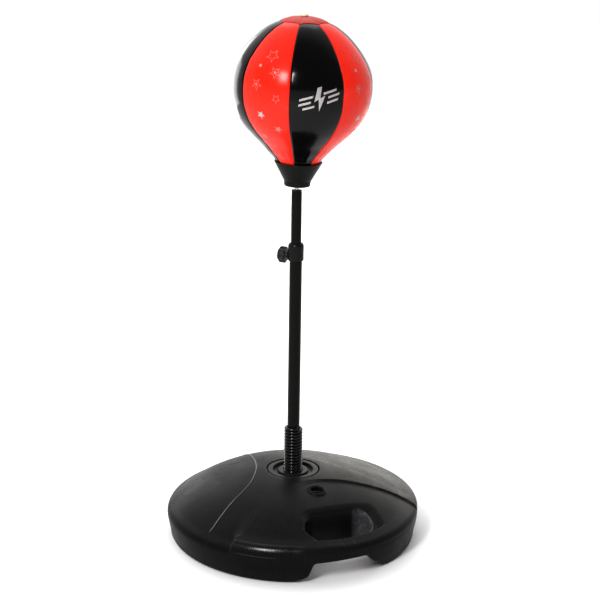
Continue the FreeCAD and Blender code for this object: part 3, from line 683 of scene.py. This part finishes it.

# the left blade's raised edge, coloured pale as a painted highlight with rubbed wear, and the mould's parting line
# round the side, its front stretch coloured paler as a painted highlight
le = smooth_line(LEFT_EDGE, 10)
rl = np.hypot(le[:, 0], le[:, 1])
le = le[(rl < np.where(le[:, 1] < 0, 190.0, 196.0))]
bead("Base_Left_Blade_Edge", np.c_[le, DOME(np.hypot(le[:, 0], le[:, 1]))], 1.7, 0.8, M["ridge"])
for nm, a0, a1, wd, ht, mt, tp in (("Base_Parting_Line_Front", 240.0, 269.0, 1.1, 0.42, "parting_highlight", 30.0),
                                   ("Base_Parting_Line", 12.0, 244.0, 0.9, 0.26, "base", 20.0)):
    th = np.radians(np.arange(a0, a1, 0.75))
    bead(nm, np.c_[200.0 * np.cos(th), 200.0 * np.sin(th), np.full(len(th), 42.0)], wd, ht, M[mt], taper=tp)


# ------------------------------------------------------------------ turned pieces with rounded edges
def rounded(profile, seg=5):
    """Closed (radius, height, fillet) outline with its corners rounded off."""
    out = []
    n = len(profile)
    for i in range(n):
        p0, p, p2 = (np.array(profile[(i + k) % n][:2], float) for k in (-1, 0, 1))
        f = profile[i][2] if len(profile[i]) > 2 else 0.0
        a, b = p0 - p, p2 - p
        la, lb = np.linalg.norm(a), np.linalg.norm(b)
        if f <= 0 or la < 1e-6 or lb < 1e-6:
            out.append(tuple(p))
            continue
        a, b = a / la, b / lb
        half = math.acos(max(-1, min(1, float(a @ b)))) / 2
        t = min(f / max(math.tan(half), 1e-6), 0.45 * la, 0.45 * lb)
        for u in np.linspace(0, 1, seg + 1):
            q = (1 - u) ** 2 * (p + a * t) + 2 * u * (1 - u) * p + u * u * (p + b * t)
            out.append(tuple(q))
    return out


def lathe(name, profile, mat, seg=128, sector=None):
    P = np.array(rounded(profile))
    n = len(P)
    seg = seg
    th = np.linspace(0, 2 * math.pi, seg, endpoint=False)
    V = np.stack([P[None, :, 0] * np.cos(th)[:, None], P[None, :, 0] * np.sin(th)[:, None],
                  np.broadcast_to(P[None, :, 1], (seg, n))], -1).reshape(-1, 3)
    F = []
    for i in range(seg):
        k = (i + 1) % seg
        for j in range(n):
            q = (j + 1) % n
            F.append((i * n + j, k * n + j, k * n + q, i * n + q))
    o = make_obj(name, V * MM, F, mat)
    w = o.modifiers.new("split", "EDGE_SPLIT")
    w.split_angle = math.radians(50)
    return o


def place(o, fn):
    """Moves a built piece's points (millimetres) through a function."""
    co = np.empty(len(o.data.vertices) * 3)
    o.data.vertices.foreach_get("co", co)
    P = fn(co.reshape(-1, 3) / MM)
    o.data.vertices.foreach_set("co", (P * MM).ravel())
    o.data.update()


def box(name, x, y, z0, z1, mat, bevel=0.35):
    V = [(sx * x / 2, sy * y / 2, z) for z in (z0, z1) for sx, sy in ((-1, -1), (1, -1), (1, 1), (-1, 1))]
    F = [(3, 2, 1, 0), (4, 5, 6, 7), (0, 1, 5, 4), (1, 2, 6, 5), (2, 3, 7, 6), (3, 0, 4, 7)]
    o = make_obj(name, np.array(V) * MM, F, mat, smooth=False)
    b = o.modifiers.new("bevel", "BEVEL")
    b.width = bevel * MM
    b.segments = 3
    return o


hub = lathe("Hub_Ring", [(15.5, 98.1, 0), (40.4, 98.1, 0.3), (40.4, 103.7, 1.1), (32.2, 103.7, 0.8), (31.2, 99.0, 0.6), (24.6, 99.0, 0.6),
                         (23.8, 102.6, 0.9), (15.5, 102.6, 0.6)], M["hub"])
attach(hub, "base")
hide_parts("hub_ring")

# ------------------------------------------------------------------ fill plug, with its deep finger recess
tilt = np.array(Matrix.Rotation(PT, 3, Vector((72.0, 37.6, 0.0)).normalized()))


def at_plug(P):
    return P @ tilt.T + PLUG


plug = lathe("Fill_Plug", [(0.02, -12.0, 0), (9.5, -12.0, 0.8), (9.5, -8.8, 0), (8.15, -8.8, 0), (8.15, -7.0, 0), (9.5, -7.0, 0),
                           (9.5, 0.5, 0), (11.1, 0.5, 0.2), (11.1, 2.2, 0.6), (10.0, 2.2, 0.5), (9.2, 0.2, 0.5), (9.1, -5.2, 0.8),
                           (0.02, -5.2, 0)], M["plug"])
grip = box("Fill_Plug_Grip", 18.0, 2.4, -5.4, -1.2, M["plug"])
for o in (plug, grip):
    place(o, at_plug)
    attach(o, "fill_stopper")
    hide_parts("fill_plug")

# ------------------------------------------------------------------ clamp collar, bored for its screw
KD = math.radians(155.0)
KR = np.array(Matrix.Rotation(KD, 3, "Z") @ Matrix.Rotation(math.radians(90.0), 3, "Y"))


def at_knob(P):
    return P @ KR.T + np.array([0.0, 0.0, 454.2])


collar = lathe("Clamp_Collar", [(9.6, 447.6, 0), (11.2, 447.6, 0.5), (12.0, 448.6, 0.5), (12.0, 471.2, 1.6), (10.6, 474.6, 1.6),
                                (8.05, 475.0, 0.3), (8.05, 462.0, 0), (9.6, 462.0, 0)], M["collar"])
bore = lathe("collar_bore", [(0.02, 5.0, 0), (3.25, 5.0, 0), (3.25, 20.0, 0), (0.02, 20.0, 0)], M["collar"], seg=48)
place(bore, at_knob)
for o in (collar, bore):
    o.modifiers.clear()
bo = collar.modifiers.new("bore", "BOOLEAN")
bo.operation = "DIFFERENCE"
bo.solver = "EXACT"
bo.object = bore
me = bpy.data.meshes.new_from_object(collar.evaluated_get(bpy.context.evaluated_depsgraph_get()))
collar.modifiers.clear()
collar.data = me
bpy.data.objects.remove(bore)
w = collar.modifiers.new("split", "EDGE_SPLIT")
w.split_angle = math.radians(40)
boss = lathe("Clamp_Collar_Boss", [(3.25, 10.6, 0), (6.0, 10.6, 0), (6.0, 14.0, 0.6), (3.25, 14.0, 0.2)], M["collar"], seg=64)
place(boss, at_knob)
for o in (collar, boss):
    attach(o, "lower_pole")
    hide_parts("clamp_collar")

# ------------------------------------------------------------------ carried-over CAD nodes
mat_of = {"sand_ballast": "sand", "fill_plug": "plug", "fill_plug_seal": "rubber", "hub_ring": "hub",
          "spring_lower_plug": "zinc", "base_washer": "zinc", "base_nut": "zinc", "spring_upper_plug": "zinc",
          "lower_tube": "powder", "clamp_collar": "collar", "clamp_nut": "zinc", "clamp_shoe": "nylon",
          "knob_screw": "zinc", "lock_knob": "knob", "upper_tube": "powder", "tube_glide": "nylon",
          "tube_top_plug": "plug", "ball_stud": "zinc", "ball_cup": "cup", "cup_thread_insert": "brass",
          "ball_neck_flange": "cup", "bladder": "bladder", "valve_body": "cream", "valve_plug": "cream",
          "crown_patch": "red", "coil_spring": "spring", "base_shell": "base"}
for n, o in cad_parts.items():
    if n.startswith("ball_panel"):
        set_mat(o, M["black" if n.endswith("black") else "red"])
    else:
        set_mat(o, M[mat_of[n]])


def soften(node, width, segs=2, angle=30):
    """Rounded edges on a carried-over piece."""
    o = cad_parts[node]
    w = o.modifiers.new("weld", "WELD")
    w.merge_threshold = 1e-6
    b = o.modifiers.new("bevel", "BEVEL")
    b.width = width
    b.segments = segs
    b.limit_method = "ANGLE"
    b.angle_limit = math.radians(angle)
    b.harden_normals = False
    b.use_clamp_overlap = True


soften("lock_knob", 0.0005, 3)
soften("tube_top_plug", 0.0004)
soften("valve_body", 0.0003)
soften("valve_plug", 0.0003)

# ------------------------------------------------------------------ coil spring, in two halves
def coil(name, z_from, z_to, zc0, zc1, pitch, R, rw, nseg=14, per_turn=44):
    """Wire between two heights; the whole coil runs zc0 to zc1, so the halves meet wire end to wire end."""
    total = (zc1 - zc0) / pitch * 2 * math.pi
    a0, a1 = (z_from - zc0) / (zc1 - zc0) * total, (z_to - zc0) / (zc1 - zc0) * total
    n = int(per_turn * (a1 - a0) / (2 * math.pi)) + 1
    a = np.linspace(a0, a1, n)
    c = pitch / (2 * math.pi)
    z = zc0 + c * a
    ctr = np.stack([R * np.cos(a), R * np.sin(a), z], 1)
    rad = np.stack([np.cos(a), np.sin(a), 0 * a], 1)
    tan = np.stack([-R * np.sin(a), R * np.cos(a), np.full_like(a, c)], 1)
    tan /= np.linalg.norm(tan, axis=1, keepdims=True)
    bi = np.cross(tan, rad)
    th = np.linspace(0, 2 * math.pi, nseg, endpoint=False)
    V = ctr[:, None] + rw * (np.cos(th)[None, :, None] * rad[:, None] + np.sin(th)[None, :, None] * bi[:, None])
    V = V.reshape(-1, 3)
    faces = []
    for i in range(n - 1):
        for j in range(nseg):
            k = (j + 1) % nseg
            faces.append((i * nseg + j, i * nseg + k, (i + 1) * nseg + k, (i + 1) * nseg + j))
    V[:, 2] = np.clip(V[:, 2], 96.02, 177.0)
    faces.append(tuple(range(nseg))[::-1])
    faces.append(tuple((n - 1) * nseg + j for j in range(nseg)))
    return make_obj(name, V * MM, faces, M["spring"])


CR, RW = (29.5 - 4.6) / 2, 2.3
z0c, z1c = 96.0 + 2.3, 177.0 - 2.3
coil_low = coil("Spring_Lower_Half", z0c, 136.0, z0c, z1c, 5.15, CR, RW)
coil_up = coil("Spring_Upper_Half", 136.0, z1c, z0c, z1c, 5.15, CR, RW)
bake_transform(coil_low)
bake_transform(coil_up)
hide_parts("coil_spring")
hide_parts("coil_spring")

# ------------------------------------------------------------------ ball
PROFILE = np.array([(27.6, 593.0), (31.2, 598.0), (34.2, 602.6), (38.9, 609.5), (46.6, 617.5), (56.3, 628.0), (69.3, 640.5),
                    (81.4, 653.0), (90.4, 665.0), (97.2, 677.5), (102.1, 690.0), (104.6, 703.0), (105.1, 717.0),
                    (104.1, 730.0), (100.7, 743.5), (94.8, 756.0), (86.5, 768.5), (76.6, 780.5), (65.7, 791.5),
                    (54.5, 800.3), (44.3, 806.3), (33.2, 811.0), (29.5, 812.4)])
SWAY = np.array([(593.0, 1.1), (604.0, 0.9), (618.0, 0.6), (640.0, 1.05), (665.0, 1.2), (700.0, 1.1), (735.0, 1.2), (757.0, 0.4),
                 (785.0, 0.35), (811.0, 0.1)])
LEAN, LEAN_Z = math.radians(1.9), 590.0
FIRST, NP = -77.3, 8


def prof_curve(P, n=40):
    L = smooth_line(P, n)
    s = np.r_[0, np.cumsum(np.hypot(*np.diff(L, axis=0).T))]
    return L, s


PL, PS = prof_curve(PROFILE)
S_TOTAL = PS[-1]


def at_s(s):
    s = np.clip(s, 0, S_TOTAL)
    return np.interp(s, PS, PL[:, 0]), np.interp(s, PS, PL[:, 1])


def s_of_z(z):
    return np.interp(z, PL[:, 1], PS)


def leaned(P):
    c, s = math.cos(LEAN), math.sin(LEAN)
    x, z = P[..., 0], P[..., 2] - LEAN_Z
    return np.stack([c * x + s * z, P[..., 1], -s * x + c * z + LEAN_Z], -1)


rng = np.random.default_rng(7)
WPH = rng.uniform(0, 2 * math.pi, (NP, 12))
WFR = rng.uniform(0.7, 1.5, (NP, 12))


def panel_offset(u, s, k):
    """How far the panel stands off the smooth profile: u runs -1 to 1 across it, s is the length along it, in mm."""
    t = s / S_TOTAL
    belly = np.sin(math.pi * np.clip(t, 0, 1)) ** 0.8
    puff = 1.15 * belly * np.cos(u * math.pi / 2) ** 1.0 - 0.35
    au = np.abs(u)
    # welded seam: a narrow valley
    r, _ = at_s(s)
    width = np.maximum(r * math.radians(22.5), 8.0)
    dist = (1 - au) * width
    seam = -0.75 * np.exp(-(dist / 1.1) ** 2)
    # puckers run across the seam and die out inwards
    side = np.where(u > 0, 0, 1)
    kk = (k + np.where(u > 0, 1, 0)) % NP            # the seam's own number, shared by both panels
    p1 = WPH[kk, 0], WFR[kk, 0]
    w = (np.sin(s / 9.5 * p1[1] + p1[0]) * np.sin(s / 23.0 + WPH[kk, 1])
         + 0.6 * np.sin(s / 5.7 * WFR[kk, 2] + WPH[kk, 2]) * np.sin(s / 31.0 + WPH[kk, 3]))
    pucker = 0.40 * w * np.exp(-(dist / 11.0)) * belly
    # gathers where the panels run into the neck
    neck = 0.35 * np.sin(u * 9.0 + WPH[k, 5]) * np.exp(-np.abs(t - 0.09) / 0.05)
    slow = 0.55 * np.sin(u * 2.1 + WPH[k, 6]) * np.sin(t * 7.0 + WPH[k, 7]) * belly
    return puff + seam + pucker + neck * 0.6 + slow * 0.5


def ball_point(theta, s, k, lift=0.0):
    """Point on panel k at angle theta (degrees) and profile length s."""
    mid = FIRST + 45.0 * k
    u = (np.asarray(theta) - mid) / 22.5
    r, z = at_s(s)
    r2, z2 = at_s(s + 0.5)
    r1, z1 = at_s(s - 0.5)
    tr, tz = r2 - r1, z2 - z1
    ln = np.hypot(tr, tz)
    nr, nz = tz / ln, -tr / ln
    fade = smoothstep(s / 10.0) * smoothstep((S_TOTAL - s) / 8.0)
    d = panel_offset(np.clip(u, -1, 1), s, k) * fade + lift
    rr, zz = r + nr * d, z + nz * d
    a = np.radians(theta)
    return leaned(np.stack([rr * np.cos(a) + np.interp(zz, SWAY[:, 0], SWAY[:, 1]), rr * np.sin(a), zz], -1))


def build_panel(k):
    nu, ns = ((48, 220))
    # rows closer to the seams
    q = np.linspace(-1, 1, nu + 1)
    u = np.sign(q) * (1 - (1 - np.abs(q)) ** 1.5)
    s = np.linspace(0, S_TOTAL, ns + 1)
    mid = FIRST + 45.0 * k
    U, S = np.meshgrid(u * 0.9992, s, indexing="ij")
    P = ball_point(mid + 22.5 * U, S, k)
    ins = P.copy()
    V = P.reshape(-1, 3)
    m = ns + 1
    faces = []
    for i in range(nu):
        for j in range(ns):
            a = i * m + j
            faces.append((a, a + m, a + m + 1, a + 1))
    name = "Ball_Panel_%d_%s" % (k + 1, "Black" if k % 2 == 0 else "Red")
    o = make_obj(name, V * MM, np.array(faces), M["black" if k % 2 == 0 else "red"])
    so = o.modifiers.new("thickness", "SOLIDIFY")
    so.thickness = 0.9 * MM
    so.offset = -1
    return o


panels = []
for k in range(NP):
    o = build_panel(k)
    node = "ball_panel_%d_%s" % (k + 1, "black" if k % 2 == 0 else "red")
    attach(o, "ball")
    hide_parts(node)
    panels.append(o)

# ------------------------------------------------------------------ crown patch, cup and bladder
def swayed(P):
    """Carries a piece drawn about the ball's own axis to where the ball hangs."""
    Q = P.copy()
    Q[:, 0] += np.interp(Q[:, 2], SWAY[:, 0], SWAY[:, 1])
    return leaned(Q)


def build_crown():
    """Eight-sided patch welded over the panels' tips, a little gathered towards its rim."""
    nt_, nf = ((24, 22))
    rc, r_in, z_in = 37.2, 4.65, 817.4
    fr = np.linspace(0, 1, nf)
    half = len(PL) // 2
    th, rim = [], []
    for k in range(NP):
        for d in np.linspace(-22.5, 22.5, nt_, endpoint=False):
            re = rc * math.cos(math.radians(22.5)) / math.cos(math.radians(d))
            s = np.interp(re, PL[half:][::-1, 0], PS[half:][::-1])
            rim.append(ball_point(FIRST + 45.0 * k + d, s, k, 0.45))
            th.append(math.radians(FIRST + 45.0 * k + d))
    rim, th = np.array(rim), np.array(th)
    n = len(th)
    ctr = swayed(np.array([[0.0, 0.0, z_in]]))[0]
    inner = swayed(np.stack([r_in * np.cos(th), r_in * np.sin(th), np.full(n, z_in)], 1))
    rows = []
    for f in fr:
        base_p = inner * (1 - f) + rim * f
        pk = 0.22 * np.sin(24 * th + 1.3) * f ** 3 * (1 - f) * 4 + 0.18 * np.sin(7 * th + 5 * f) * f * (1 - f) * 2
        # heights follow the straight line from middle to rim, plus the bulge above it
        bulge = (ctr[2] - rim[:, 2].mean()) * (f - f ** 2.2)
        rows.append(np.stack([base_p[:, 0], base_p[:, 1], base_p[:, 2] + bulge + pk], 1))
    V = np.concatenate(rows)
    F = []
    for i in range(nf - 1):
        for j in range(n):
            q = (j + 1) % n
            F.append((i * n + j, (i + 1) * n + j, (i + 1) * n + q, i * n + q))
    o = make_obj("Top_Patch", V * MM, F, M["crown"])
    so = o.modifiers.new("thickness", "SOLIDIFY")
    so.thickness = 0.5 * MM
    so.offset = -1
    return o


crown = build_crown()
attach(crown, "ball")
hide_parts("crown_patch")

cup = lathe("Ball_Cup", [(4.3, 564.6, 0), (19.3, 564.6, 0.6), (19.9, 566.0, 0.4), (20.5, 572.6, 1.0), (36.3, 601.3, 0.5),
                         (35.7, 602.0, 0.3), (35.1, 601.7, 0), (19.2, 572.9, 0), (18.0, 567.6, 0), (9.0, 567.6, 0), (9.0, 580.6, 0), (6.3, 580.6, 0), (6.3, 566.5, 0),
                         (4.3, 566.5, 0)], M["cup"])


def cup_lean(P):
    c, s = math.cos(LEAN), math.sin(LEAN)
    x, z = P[:, 0], P[:, 2] - 548.0
    return np.stack([c * x + s * z, P[:, 1], -s * x + c * z + 548.0], 1)


place(cup, cup_lean)
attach(cup, "ball")
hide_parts("ball_cup")


flange = lathe("Ball_Neck_Flange", [(20.0, 588.6, 0), (25.6, 588.6, 0.5), (28.6, 594.4, 0.3), (26.9, 594.4, 0.3),
                                    (24.4, 590.2, 0.4), (20.0, 590.2, 0.3)], M["cup"])
place(flange, cup_lean)
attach(flange, "ball")
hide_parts("ball_neck_flange")


def inset(d):
    T = np.gradient(PL, axis=0)
    T /= np.linalg.norm(T, axis=1, keepdims=True)
    Q = np.stack([PL[:, 0] - T[:, 1] * d, PL[:, 1] + T[:, 0] * d], 1)
    return [tuple(q) for q in Q[(Q[:, 1] > 607.0) & (Q[:, 1] < 805.0)][::20]]


skin_out = [(2.2, 606.0), (26.0, 606.0)] + inset(3.6) + [(22.0, 808.0), (4.9, 811.5)]
skin_in = [(4.9, 810.6), (21.6, 807.1)] + inset(4.4)[::-1] + [(25.6, 606.9), (2.2, 606.9)]
bladder = lathe("Ball_Bladder", skin_out + skin_in, M["bladder"], seg=96)
place(bladder, swayed)
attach(bladder, "ball")
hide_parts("bladder")

# ------------------------------------------------------------------ printed decoration on the panels


def star_pts(R, r, n=5, rot=0.0):
    out = []
    for i in range(2 * n):
        a = math.pi / 2 + rot + math.pi * i / n
        q = R if i % 2 == 0 else r
        out.append((q * math.cos(a), q * math.sin(a)))
    return out


def subdivide_loop(pts, step=0.8):
    out = []
    for (x0, y0), (x1, y1) in zip(pts, pts[1:] + pts[:1]):
        n = max(1, int(math.hypot(x1 - x0, y1 - y0) / step))
        for i in range(n):
            out.append((x0 + (x1 - x0) * i / n, y0 + (y1 - y0) * i / n))
    return out


def on_ball(k, theta0, z0, pts2, lift):
    """Drops flat decoration points (mm, x to the right, y up) on panel k round a centre."""
    s0 = s_of_z(z0)
    P = np.array(pts2, float)
    s = s0 + P[:, 1]
    r, _ = at_s(np.full(len(P), s0))
    th = theta0 + np.degrees(P[:, 0] / r)
    return ball_point(th, s, k, lift)


def band(k, theta0, z0, outer, inner, mat, name, lift=0.16):
    """A printed ring between two closed outlines with the same number of points."""
    n = len(outer)
    rows = []
    steps = 3
    for t in np.linspace(0, 1, steps):
        rows.append([((1 - t) * a[0] + t * b[0], (1 - t) * a[1] + t * b[1]) for a, b in zip(outer, inner)])
    V = np.concatenate([on_ball(k, theta0, z0, rw, lift) for rw in rows])
    faces = []
    for i in range(steps - 1):
        for j in range(n):
            q = (j + 1) % n
            faces.append((i * n + j, i * n + q, (i + 1) * n + q, (i + 1) * n + j))
    return V, faces


def fill(k, theta0, z0, outer, lift=0.16):
    """A solid printed shape, as rings shrinking to its middle."""
    n = len(outer)
    c = np.mean(np.array(outer), 0)
    rows, steps = [], 5
    for t in np.linspace(0, 0.92, steps):
        rows.append([((1 - t) * a[0] + t * c[0], (1 - t) * a[1] + t * c[1]) for a in outer])
    V = [on_ball(k, theta0, z0, rw, lift) for rw in rows]
    V.append(on_ball(k, theta0, z0, [tuple(c)], lift))
    V = np.concatenate(V)
    faces = []
    for i in range(steps - 1):
        for j in range(n):
            q = (j + 1) % n
            faces.append((i * n + j, i * n + q, (i + 1) * n + q, (i + 1) * n + j))
    top = steps * n
    for j in range(n):
        faces.append(((steps - 1) * n + j, (steps - 1) * n + (j + 1) % n, top))
    return V, faces


def decoration(name, parts, mat):
    V, F, off = [], [], 0
    for v, f in parts:
        V.append(v)
        F += [tuple(i + off for i in q) for q in f]
        off += len(v)
    V = np.concatenate(V)
    o = make_obj(name, V * MM, F, mat)
    so = o.modifiers.new("ink", "SOLIDIFY")
    so.thickness = 0.10 * MM
    so.offset = -1
    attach(o, "ball")
    return o


def star_outline(k, th, z, R, w, rot):
    a = subdivide_loop(star_pts(R, R * 0.46, rot=rot + math.pi / 5))
    f = (R - w * 2.2) / R
    b = [(x * f, y * f) for x, y in a]
    return band(k, th, z, a, b, None, None)


def star_solid(k, th, z, R, rot):
    return fill(k, th, z, subdivide_loop(star_pts(R, R * 0.42, rot=rot + math.pi / 5)))


def star_ringed(k, th, z, R, rot):
    out = [star_outline(k, th, z, R, R * 0.055, rot)]
    circ = [(R * 0.22 * math.cos(t), R * 0.22 * math.sin(t)) for t in np.linspace(0, 2 * math.pi, 20, endpoint=False)]
    circ2 = [(R * 0.08 * math.cos(t), R * 0.08 * math.sin(t)) for t in np.linspace(0, 2 * math.pi, 20, endpoint=False)]
    out.append(band(k, th, z, circ, circ2, None, None))
    return out


def dot(k, th, z, R):
    return fill(k, th, z, [(R * math.cos(t), R * math.sin(t)) for t in np.linspace(0, 2 * math.pi, 16, endpoint=False)])


# (degrees from the panel's middle, height, size, kind, turn)
SCATTER = {7: ((3.1, 767.0, 10.5, "o", 0.10), (-5.9, 752.5, 2.4, "d", 0.0), (9.4, 745.0, 9.0, "r", -0.05),
               (-6.2, 726.3, 8.6, "r", 0.15), (12.0, 709.0, 6.6, "o", 0.0), (-2.6, 683.0, 7.2, "s", 0.12),
               (11.9, 663.5, 6.6, "f", 0.3), (-8.2, 648.5, 6.0, "f", -0.2)),
           1: ((1.1, 764.8, 8.0, "o", 0.0), (-7.0, 749.5, 2.4, "d", 0.0), (11.2, 740.5, 6.0, "f", 0.1),
               (-6.8, 724.1, 8.0, "r", 0.2), (9.0, 704.0, 6.0, "f", 0.0), (-0.2, 679.8, 6.5, "s", 0.05),
               (8.5, 657.0, 5.5, "f", 0.2))}
SCATTER[3], SCATTER[5] = SCATTER[7], SCATTER[1]

for k in (1, 3, 5, 7):
    thin, solid, faint = [], [], []
    for d, z, R, kind, rot in SCATTER[k]:
        th = FIRST + 45.0 * k + d
        if kind == "o":
            thin.append(star_outline(k, th, z, R, 0.55 if R > 7 else 0.45, rot))
        elif kind == "d":
            thin.append(dot(k, th, z, R))
        elif kind == "r":
            thin += star_ringed(k, th, z, R, rot)
        elif kind == "s":
            solid.append(star_solid(k, th, z, R, rot))
        else:
            faint.append(star_solid(k, th, z, R, rot))
    decoration("Printed_Line_Stars_%d" % (k + 1), thin, M["silver_mid"])
    decoration("Printed_Solid_Star_%d" % (k + 1), solid, M["silver"])
    decoration("Printed_Faded_Stars_%d" % (k + 1), faint, M["silver_faint"])


def emblem():
    """A made-up badge: a slanted shield line with a bolt and three speed bars."""
    k, th, z = 0, -76.0, 711.5
    tilt = math.radians(17)
    c, s = math.cos(tilt), math.sin(tilt)

    def R(pts):
        return [(c * x - s * y, s * x + c * y) for x, y in pts]
    out = []
    bolt = [(1.5, 17.0), (-8.5, -1.5), (-1.0, -1.5), (-5.0, -17.0), (9.5, 3.5), (1.6, 3.5), (8.0, 17.0)]
    # the bolt is two quadrilaterals so that each fills cleanly
    out.append(fill(k, th, z, subdivide_loop(R([(8.0, 17.0), (1.5, 17.0), (-8.5, -1.5), (1.2, 1.0)]))))
    out.append(fill(k, th, z, subdivide_loop(R([(9.5, 3.5), (-1.4, 0.6), (-5.0, -17.0)]))))
    for i, (x0, x1, y) in enumerate(((-28.0, -7.0, 8.0), (-31.0, -12.5, 1.0), (-27.0, -9.0, -6.0))):
        out.append(fill(k, th, z, subdivide_loop(R([(x0, y), (x1, y), (x1 - 1.2, y - 3.2), (x0 - 1.2, y - 3.2)]))))
        out.append(fill(k, th, z, subdivide_loop(R([(-x1 + 1.2, y), (-x0 + 1.2, y), (-x0, y - 3.2), (-x1, y - 3.2)]))))
    return out


decoration("Printed_Badge", emblem(), M["silver"])

# ------------------------------------------------------------------ stage, lights, camera
def mat_stage(name, col, rough):
    m, nt, N, L, b = new_mat(name)
    L.new(ramp(nt, noise(nt, 2.0, 3.0), [(0.3, col), (0.7, tuple(c * 0.985 for c in col))]), b.inputs["Base Color"])
    b.inputs["Roughness"].default_value = rough
    b.inputs["Specular IOR Level"].default_value = 0.1
    return m


floor = make_obj("Studio_Floor", [(-30, -30, -0.0002), (30, -30, -0.0002), (30, 30, -0.0002), (-30, 30, -0.0002)], [(0, 1, 2, 3)],
                 mat_stage("studio_white", (0.90, 0.90, 0.90), 0.85), smooth=False)


def area(name, direction, dist, target, sx, sy, radiance, col=(1, 1, 1)):
    """A softbox seen from the target in a direction; its brightness is given as radiance."""
    d = bpy.data.lights.new(name, "AREA")
    d.shape = "RECTANGLE"
    d.size, d.size_y = sx, sy
    d.energy = radiance * math.pi * sx * sy
    d.color = col
    o = bpy.data.objects.new(name, d)
    scene.collection.objects.link(o)
    v = Vector(direction).normalized()
    o.location = Vector(target) + v * dist
    o.rotation_mode = "QUATERNION"
    o.rotation_quaternion = (-v).to_track_quat("-Z", "Y")
    o.visible_camera = False
    return o


area("Key_Window", (-0.384, -0.779, 0.501), 2.6, (0, 0, 0.6), 0.44, 0.92, 40.0)
area("Back_Left_Softbox", (-0.45, 0.88, 0.16), 3.0, (0, 0, 0.45), 1.0, 1.5, 1.4)
warm = area("Back_Right_Softbox", (0.27, 0.95, 0.13), 2.6, (0, 0, 0.30), 1.5, 1.3, 2.1, (1.0, 0.965, 0.89))
area("Top_Softbox", (0.0, 0.62, 0.78), 2.6, (0, 0, 0.4), 1.2, 1.0, 1.2)
strip = area("Strip_Card", (-0.660, 0.751, -0.03), 0.70, (-0.06, 0.04, 0.71), 0.56, 0.54, 4.2)

sd = bpy.data.lights.new("Overhead_Diffuse", "SUN")
sd.energy = 1.97
sd.angle = math.radians(95)
sun = bpy.data.objects.new("Overhead_Diffuse", sd)
scene.collection.objects.link(sun)
sun.rotation_mode = "QUATERNION"
sun.rotation_quaternion = Vector((0.22, -0.08, -1.0)).to_track_quat("-Z", "Y")
sun.visible_glossy = False

# flags: the card lights the ball's black panels only, the warm softbox the tank, its ring and the floor only
lit = bpy.data.collections.new("strip_light_receivers")
for o in panels[0::2]:
    lit.objects.link(o)
strip.light_linking.receiver_collection = lit
low = bpy.data.collections.new("warm_light_receivers")
for o in (base, hub, floor):
    low.objects.link(o)
warm.light_linking.receiver_collection = low

w = bpy.data.worlds.new("studio_world")
scene.world = w
w.use_nodes = True
nt = w.node_tree
bg = nt.nodes["Background"]
bg.inputs["Strength"].default_value = 1.0
tc = nt.nodes.new("ShaderNodeTexCoord")
sep = nt.nodes.new("ShaderNodeSeparateXYZ")
nt.links.new(tc.outputs["Generated"], sep.inputs["Vector"])
r = ramp(nt, remap(nt, sep.outputs["Y"], 0.0, 1.0, -1.0, 1.0), [(0.0, (0.10, 0.10, 0.10)), (0.45, (0.16, 0.16, 0.16)),
                                                               (0.68, (0.95, 0.95, 0.95)), (1.0, (1.35, 1.35, 1.35))])
nt.links.new(r, bg.inputs["Color"])

# camera, at the photograph's viewing angle
f, d, h, p, roll, yaw = 1500.0, 2.2274305770759243, 1.0312373793014847, math.radians(16.2), 0.0149, 0.0033
Rt, Up, Fw = Vector((1, 0, 0)), Vector((0, math.sin(p), math.cos(p))), Vector((0, math.cos(p), -math.sin(p)))
right, up = Rt * math.cos(roll) + Up * math.sin(roll), Up * math.cos(roll) - Rt * math.sin(roll)
rz = Matrix.Rotation(-yaw, 3, "Z")
right, up, back = rz @ right, rz @ up, -(rz @ Fw)
cam_d = bpy.data.cameras.new("Camera")
cam = bpy.data.objects.new("Camera", cam_d)
scene.collection.objects.link(cam)
m = Matrix((right, up, back)).transposed().to_4x4()
m.translation = Vector((0, -d, h))
cam.matrix_world = m
cam_d.sensor_width = 36.0
cam_d.lens = f * 36.0 / 600.0
scene.camera = cam
scene.view_settings.view_transform = "Standard"
scene.view_settings.look = "None"
scene.view_settings.gamma = 0.8
